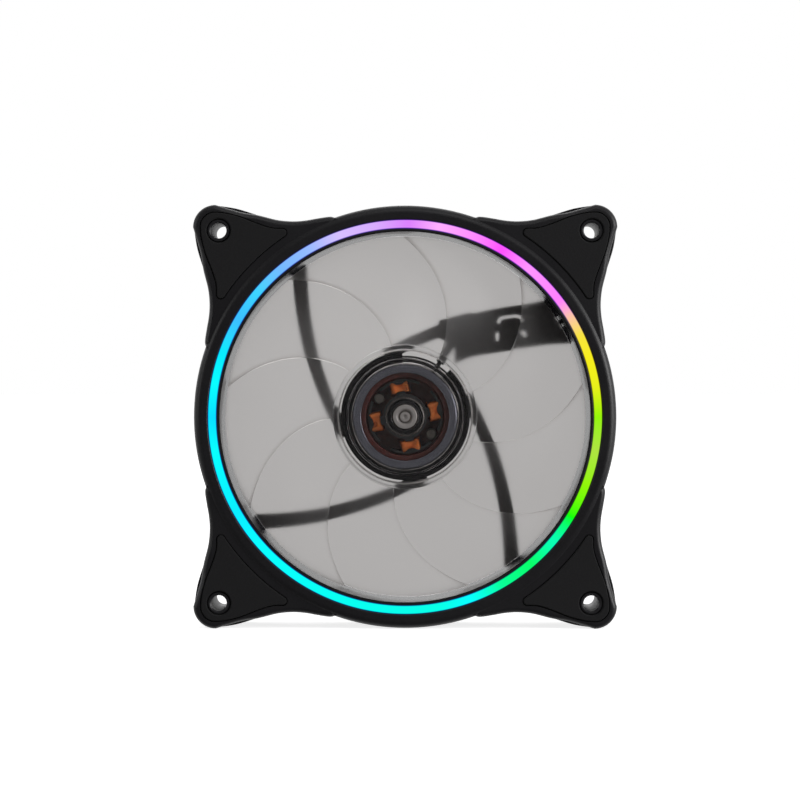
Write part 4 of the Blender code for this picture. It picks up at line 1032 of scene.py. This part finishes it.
class FAN_OT_stage(bpy.types.Operator):
    """Make the floor, the room light, the soft lamps and the camera"""

    bl_idname = "case_fan.stage"
    bl_label = "Stage"

    def execute(self, context):
        stage = context.scene.fan_stage
        self.make_camera(context, stage)
        self.make_floor(stage)
        self.make_room(context, stage)
        middle = Vector((0, 0, AXIS_Z))
        for name, place, size, power in (
                ("Right softbox", (0.98, -0.50, 0.25), 0.60, 7.0),
                ("Left softbox", (-1.10, -0.60, 0.35), 0.60, 1.5),
                ("Top softbox", (0.10, -0.75, 1.00), 0.70, 1.6),
                ("Back softbox", (-0.20, 1.20, 0.80), 0.80, 3.0)):
            lamp = bpy.data.lights.new(name, "AREA")
            lamp.size = size
            lamp.energy = power
            softbox = bpy.data.objects.new(name, lamp)
            softbox.location = place
            away = middle - Vector(place)
            softbox.rotation_euler = away.to_track_quat("-Z", "Y").to_euler()
            context.scene.collection.objects.link(softbox)
        return {"FINISHED"}

    def make_camera(self, context, stage):
        """The camera, square to the lit face and a little above its middle."""
        data = bpy.data.cameras.new("Camera")
        data.sensor_width = 36
        data.angle = stage.view_angle
        camera = bpy.data.objects.new("Camera", data)
        face = BACK_Y - DEPTH
        camera.location = (stage.camera_right, face - stage.camera_distance,
                           AXIS_Z + stage.camera_up)
        aim = Vector((stage.aim_right, face, AXIS_Z + stage.aim_up))
        camera.rotation_euler = (aim - camera.location).to_track_quat("-Z", "Y").to_euler()
        context.scene.collection.objects.link(camera)
        context.scene.camera = camera

    def make_floor(self, stage):
        """A plain pale floor, bright enough to merge with the room."""
        finish = Finish("stage_floor", (0.93, 0.93, 0.93), 0.9)
        finish.shaded(finish.noise(2.0), 0.97, 1.0)
        finish.set("Emission Color", (1, 1, 1, 1))
        finish.set("Emission Strength", 0.8)
        shape = bmesh.new()
        bmesh.ops.create_grid(shape, x_segments=1, y_segments=1, size=stage.floor_size / 2)
        floor = shape_object(shape, "stage_floor")
        floor.data.materials.append(finish.material)
        floor.visible_diffuse = False
        floor.visible_glossy = False
        floor.visible_transmission = False

    def make_room(self, context, stage):
        """A white backdrop behind the fan and a dim room before it, as glossy surfaces see them.

        Matt surfaces get an even light, and the camera sees plain white.
        """
        world = bpy.data.worlds.new("Room")
        world.use_nodes = True
        nodes = world.node_tree.nodes
        links = world.node_tree.links

        def blend(factor, first, second):
            """A strength between two others, each a number or an output."""
            mix = nodes.new("ShaderNodeMix")
            for value, socket in ((factor, "Factor"), (first, "A"), (second, "B")):
                if isinstance(value, bpy.types.NodeSocket):
                    links.new(value, mix.inputs[socket])
                else:
                    mix.inputs[socket].default_value = value
            return mix.outputs["Result"]

        way = nodes.new("ShaderNodeSeparateXYZ")
        links.new(nodes.new("ShaderNodeTexCoord").outputs["Generated"], way.inputs[0])
        behind = nodes.new("ShaderNodeMapRange")
        behind.inputs["From Min"].default_value = -0.3
        behind.inputs["From Max"].default_value = 0.3
        links.new(way.outputs["Y"], behind.inputs["Value"])
        path = nodes.new("ShaderNodeLightPath").outputs
        glossy = blend(behind.outputs["Result"], stage.front_gloss, stage.back_gloss)
        strength = blend(path["Is Glossy Ray"], stage.room_light, glossy)
        strength = blend(path["Is Transmission Ray"], strength, stage.behind_light)
        strength = blend(path["Is Camera Ray"], strength, 1.0)
        background = nodes["Background"]
        background.inputs["Color"].default_value = (1, 1, 1, 1)
        links.new(strength, background.inputs["Strength"])
        context.scene.world = world
        context.scene.view_settings.view_transform = "Standard"


class FAN_OT_housing(bpy.types.Operator):
    """Make the housing: duct, ears, struts, motor base and lead trough"""

    bl_idname = "case_fan.housing"
    bl_label = "Housing"

    def execute(self, context):
        finish = moulded("moulded_black", context.scene.fan_colours.housing, 0.42)
        duct = ring_sizes()[3]
        for socket, inside, outside in (("Roughness", 0.27, 0.42), ("Specular IOR Level", 0.15, 0.5)):
            finish.link(finish.spread(finish.from_axis(), inside, outside, duct + 0.1 * MM,
                                      duct + 0.4 * MM), socket)
        black = finish.material
        finish_piece("housing", housing_shape(), black, "frame",
                     ["frame_housing"])
        return {"FINISHED"}


class FAN_OT_cover(bpy.types.Operator):
    """Make the front cover with its four ears"""

    bl_idname = "case_fan.cover"
    bl_label = "Front cover"

    def execute(self, context):
        black = moulded("cover_black", context.scene.fan_colours.cover, 0.40).material
        finish_piece("front_cover", front_cover_shape(), black, "frame",
                     ["front_bezel"])
        return {"FINISHED"}


class FAN_OT_pads(bpy.types.Operator):
    """Make the soft pads, four in front and four behind"""

    bl_idname = "case_fan.pads"
    bl_label = "Corner pads"

    def execute(self, context):
        soft = rubber("pad_rubber", context.scene.fan_colours.pad)
        thick = context.scene.fan_frame.pad_thick
        for side, back in (("front", PAD_FRONT - thick), ("rear", 0)):
            for corner, place in enumerate(CORNER_NAMES):
                shape = pad_shape(corner, back, back + thick)
                finish_piece(f"{side}_pad_soft_{place}", shape, soft, "frame",
                             [f"{side}_pad_{place}"])
        return {"FINISHED"}


class FAN_OT_light_ring(bpy.types.Operator):
    """Make the lit diffuser and finish the board and chips behind it"""

    bl_idname = "case_fan.light_ring"
    bl_label = "Light ring"

    def execute(self, context):
        cover_inner, outer, inner, _ = ring_sizes()
        outer = cover_inner - 0.1 * MM
        inner = inner - 0.25 * MM
        foot = radius_of("light_diffuser")
        back = back_of("light_diffuser")
        front = front_of("light_diffuser")
        section = ((inner, back), (foot, back), (foot, back + 0.8 * MM), (outer, back + 0.8 * MM),
                   (outer, front), (inner, front))
        shape = bmesh.new()
        add_turned(shape, softened(section, 0.15 * MM), 256)
        milky = lit_diffuser(context.scene.fan_colours, inner, outer)
        finish_piece("lit_diffuser", shape, milky, "frame", ["light_diffuser"])
        board = speckled("white_board", (0.86, 0.87, 0.86), 0.4, 600, 0.93, 1.04)
        chip = speckled("led_white", (0.91, 0.91, 0.82), 0.3, 1500, 0.9, 1.05)
        refinish(board, "led_board")
        refinish(chip, *[f"led_{number:02d}" for number in range(1, 13)])
        return {"FINISHED"}


class FAN_OT_impeller(bpy.types.Operator):
    """Make the clear impeller"""

    bl_idname = "case_fan.impeller"
    bl_label = "Impeller"

    def execute(self, context):
        hub = context.scene.fan_hub
        clear = clear_plastic("clear_plastic", context.scene.fan_colours.plastic,
                              hub.base_radius)
        piece = finish_piece("clear_impeller", impeller_shape(), clear, "rotor",
                             ["impeller"], 40)
        piece.visible_shadow = False
        return {"FINISHED"}


class FAN_OT_rotor(bpy.types.Operator):
    """Make what turns with the impeller: yoke, magnet, shaft, bush and clip"""

    bl_idname = "case_fan.rotor"
    bl_label = "Rotor"

    def execute(self, context):
        colours = context.scene.fan_colours
        steel = turned_metal("rotor_steel", colours.steel, 0.22)
        bright = turned_metal("bright_steel", colours.shaft, 0.34, 0.45)
        ferrite = speckled("ferrite_brown", colours.magnet, 0.5, 1400, 0.7, 1.3)
        outer = radius_of("rotor_yoke")
        back = back_of("rotor_yoke")
        front = front_of("rotor_yoke")
        wall = 0.8 * MM
        opening = radius_of("magnet_ring") - 1.4 * MM
        cup = bmesh.new()
        lip = wall / 2
        profile = [Vector((outer - wall, back)), Vector((outer, back)),
                   *arc(Vector((outer - wall, front - wall)), wall, 0, 90, 10),
                   *arc(Vector((opening + lip, front - lip)), lip, 90, 180, 6),
                   Vector((opening, front - wall)), Vector((outer - wall, front - wall))]
        add_turned(cup, profile)
        finish_piece("yoke", cup, steel, "rotor", ["rotor_yoke"])

        magnet_outer = radius_of("magnet_ring")
        magnet = bmesh.new()
        ends = (back_of("magnet_ring"), front_of("magnet_ring"))
        section = ((magnet_outer - 2.7 * MM, ends[0]), (magnet_outer, ends[0]),
                   (magnet_outer, ends[1]), (magnet_outer - 2.7 * MM, ends[1]))
        add_turned(magnet, softened(section, 0.3 * MM))
        finish_piece("magnet", magnet, ferrite, "rotor", ["magnet_ring"])

        self.make_shaft(bright)
        refinish(bright, "retaining_clip")
        return {"FINISHED"}

    def make_shaft(self, bright):
        """The shaft with its groove and centre drilling, and the bush round it."""
        radius = radius_of("shaft")
        low = back_of("shaft")
        high = front_of("shaft")
        groove = radius - 0.4 * MM
        chamfer = 0.3 * MM
        profile = [(0, low), (radius - chamfer, low), (radius, low + chamfer),
                   (radius, 3 * MM), (groove, 3 * MM), (groove, 4 * MM), (radius, 4 * MM),
                   (radius, high - chamfer), (radius - chamfer, high),
                   (0.72 * MM, high), (0.62 * MM, high - 0.15 * MM), (0.3 * MM, high - 0.5 * MM),
                   (0, high - 0.55 * MM)]
        shaft = bmesh.new()
        add_capped(shaft, profile)
        finish_piece("turned_shaft", shaft, bright, "rotor", ["shaft"])
        outer = radius_of("shaft_bush")
        ends = (back_of("shaft_bush"), front_of("shaft_bush"))
        inner = radius + LIP_GAP / 2
        section = ((inner, ends[0]), (outer, ends[0]), (outer, ends[1]),
                   (inner + 0.7 * MM, ends[1]), (inner, ends[1] - 1.1 * MM))
        bush = bmesh.new()
        add_turned(bush, softened(section, 0.2 * MM), 96)
        finish_piece("turned_bush", bush, bright, "rotor", ["shaft_bush"])


class FAN_OT_stator(bpy.types.Operator):
    """Make the windings, and finish the core, its insulators and the posts"""

    bl_idname = "case_fan.stator"
    bl_label = "Stator"

    def execute(self, context):
        wire = context.scene.fan_hub.wire
        copper = copper_wire("enamelled_copper", context.scene.fan_colours.copper)
        start = 6.61 * MM
        end = 9.15 * MM
        for number in range(4):
            angle = 10.5 + 90 * number
            points = coil_points(angle, start, end, 1.85 * MM, 4.42 * MM, wire)
            shape = wound_wire("winding", points, wire * 0.98, 1)
            finish_piece(f"winding_{number + 1}", shape, copper, "frame",
                         [f"coil_{number + 1}"], 60, False)
        nylon = moulded("insulator_black", (0.10, 0.10, 0.105), 0.35).material
        refinish(laminated("lamination_steel", (0.48, 0.48, 0.50)), "stator_core")
        refinish(nylon, "insulator_front", "insulator_rear")
        grey = speckled("post_grey", (0.38, 0.37, 0.35), 0.4, 1800)
        for number, angle in enumerate((145.5, 325.5)):
            node = f"terminal_post_{number + 1}"
            low = back_of(node)
            high = front_of(node)
            shape = bmesh.new()
            radius = 1.5 * MM
            crown = arc(Vector((radius - 0.4 * MM, high - 0.4 * MM)), 0.4 * MM, 0, 90, 5)
            add_capped(shape, [(0, low), (radius, low), *crown, (0, high)], 40,
                       polar(angle, 9 * MM))
            finish_piece(f"post_{number + 1}", shape, grey, "frame", [node])
        return {"FINISHED"}


class FAN_OT_electronics(bpy.types.Operator):
    """Finish the motor board with its parts, the bearing and the rear label"""

    bl_idname = "case_fan.electronics"
    bl_label = "Board, bearing and label"

    def execute(self, context):
        board = speckled("brown_board", context.scene.fan_colours.board, 0.4, 900, 0.7, 1.3)
        refinish(board, "motor_board")
        chip = speckled("chip_black", (0.11, 0.11, 0.115), 0.45, 2500)
        refinish(chip, "hall_sensor", "driver_chip", "thrust_cap")
        refinish(speckled("capacitor_tan", (0.62, 0.51, 0.38), 0.5, 1800), "filter_capacitor")
        refinish(speckled("sintered_bronze", (0.68, 0.58, 0.46), 0.45, 2600, 0.6, 1.2, 1.0,
                          0.03 * MM), "sleeve_bearing")
        radius = radius_of("rear_label")
        low = back_of("rear_label")
        high = front_of("rear_label")
        rim = radius - 0.8 * MM
        step = 0.06 * MM
        shape = bmesh.new()
        add_capped(shape, [(0, low + step), (rim - step, low + step), (rim, low), (radius, low),
                           (radius, high), (0, high)], 128)
        foil = speckled("label_foil", (0.25, 0.25, 0.26), 0.4, 500, 0.94, 1.05)
        finish_piece("blank_label", shape, foil, "frame", ["rear_label"])
        return {"FINISHED"}


class FAN_OT_lead(bpy.types.Operator):
    """Make the light ring's lead: three twisted wires in the trough"""

    bl_idname = "case_fan.lead"
    bl_label = "Lead"

    def execute(self, context):
        wire = context.scene.fan_hub.lead_wire
        shape = bmesh.new()
        line = smooth_through(self.route(), 12)
        for number in range(3):
            points = self.twisted(line, wire * 0.56, number * 2 * pi / 3)
            strand = wound_wire("strand", points, wire)
            mesh = bpy.data.meshes.new("strand")
            strand.to_mesh(mesh)
            strand.free()
            shape.from_mesh(mesh)
            bpy.data.meshes.remove(mesh)
        jacket = Finish("lead_jacket", (0.12, 0.12, 0.125), 0.4)
        jacket.shaded(jacket.noise(900), 0.85, 1.15)
        jacket.link(jacket.spread(jacket.noise(900), 0.35, 0.5), "Roughness")
        finish_piece("twisted_lead", shape, jacket.material, "frame",
                     ["led_lead"], 60, False)
        return {"FINISHED"}

    def route(self):
        """From the motor board through the trough and up to the ring board."""
        duct = ring_sizes()[3]
        barrel = bpy.context.scene.fan_frame.barrel_wall
        channel = BEZEL_BACK - LIP_GAP - 4.5 * MM
        low = STRUT_BACK + 1.1 * MM
        trough_inner = between(TROUGH_INNER_SHARE)
        riser = polar(OUTLET_ANGLE, duct + barrel + 1.1 * MM)
        knots = ((polar(BRIDGE_ANGLE, 14.5 * MM), 4.2 * MM),
                 (polar(BRIDGE_ANGLE, 18.6 * MM), low + LIP_GAP),
                 (polar(BRIDGE_ANGLE, trough_inner - MM), low),
                 (polar(BRIDGE_ANGLE - 5, trough_inner + 5 * MM), low),
                 (polar(CLIP_ANGLE - 2, between(CLIP_SHARE)), low),
                 (polar(OUTLET_ANGLE, duct - 3 * MM), low),
                 (polar(OUTLET_ANGLE, duct + barrel / 2), low + MM / 4),
                 (riser, low + 2 * MM),
                 (riser, (low + channel) / 2),
                 (riser, channel))
        return [Vector((*place, height)) for place, height in knots]

    def twisted(self, line, offset, start):
        """The line moved off its centre and wound round it."""
        points = []
        travelled = 0.0
        for before, point, after in zip([line[0]] + line[:-1], line, line[1:] + [line[-1]]):
            along = (after - before).normalized()
            side = along.cross(Vector((0.3, -0.8, 0.5))).normalized()
            lift = along.cross(side)
            travelled += (point - before).length
            turn = start + travelled / (14 * MM) * 2 * pi
            points.append(point + (side * cos(turn) + lift * sin(turn)) * offset)
        return points


def refinish(material, *nodes):
    """Gives CAD nodes a finish of their own."""
    for name in nodes:
        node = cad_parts[name]
        if not node.material_slots:
            node.data.materials.append(None)
        node.material_slots[0].material = material


OPERATORS = (FAN_OT_stage, FAN_OT_housing, FAN_OT_cover, FAN_OT_pads, FAN_OT_light_ring,
             FAN_OT_impeller, FAN_OT_rotor, FAN_OT_stator, FAN_OT_electronics, FAN_OT_lead)
SETTINGS = {"fan_frame": FanFrameSizes, "fan_hub": FanHubSizes, "fan_colours": FanColours,
            "fan_stage": FanStage}


class FAN_PT_panel(bpy.types.Panel):
    """Settings and steps of the case fan"""

    bl_label = "Case Fan"
    bl_space_type = "VIEW_3D"
    bl_region_type = "UI"
    bl_category = "Case Fan"

    def draw(self, context):
        for name, group in SETTINGS.items():
            box = self.layout.box()
            box.label(text=group.__doc__.rstrip("."))
            for value in group.__annotations__:
                box.prop(getattr(context.scene, name), value)
        for operator in OPERATORS:
            self.layout.operator(operator.bl_idname)


def register():
    """Registers the settings, the operators and the panel."""
    for kind in (*SETTINGS.values(), *OPERATORS, FAN_PT_panel):
        bpy.utils.register_class(kind)
    for name, group in SETTINGS.items():
        setattr(bpy.types.Scene, name, PointerProperty(type=group))


def unregister():
    """Takes them out again."""
    for name in SETTINGS:
        delattr(bpy.types.Scene, name)
    for kind in (FAN_PT_panel, *reversed(OPERATORS), *SETTINGS.values()):
        bpy.utils.unregister_class(kind)


def main():
    """Build the fan and its stage."""
    register()
    for operator in OPERATORS:
        group, name = operator.bl_idname.split(".")
        getattr(getattr(bpy.ops, group), name)()


if __name__ == "__main__":
    main()
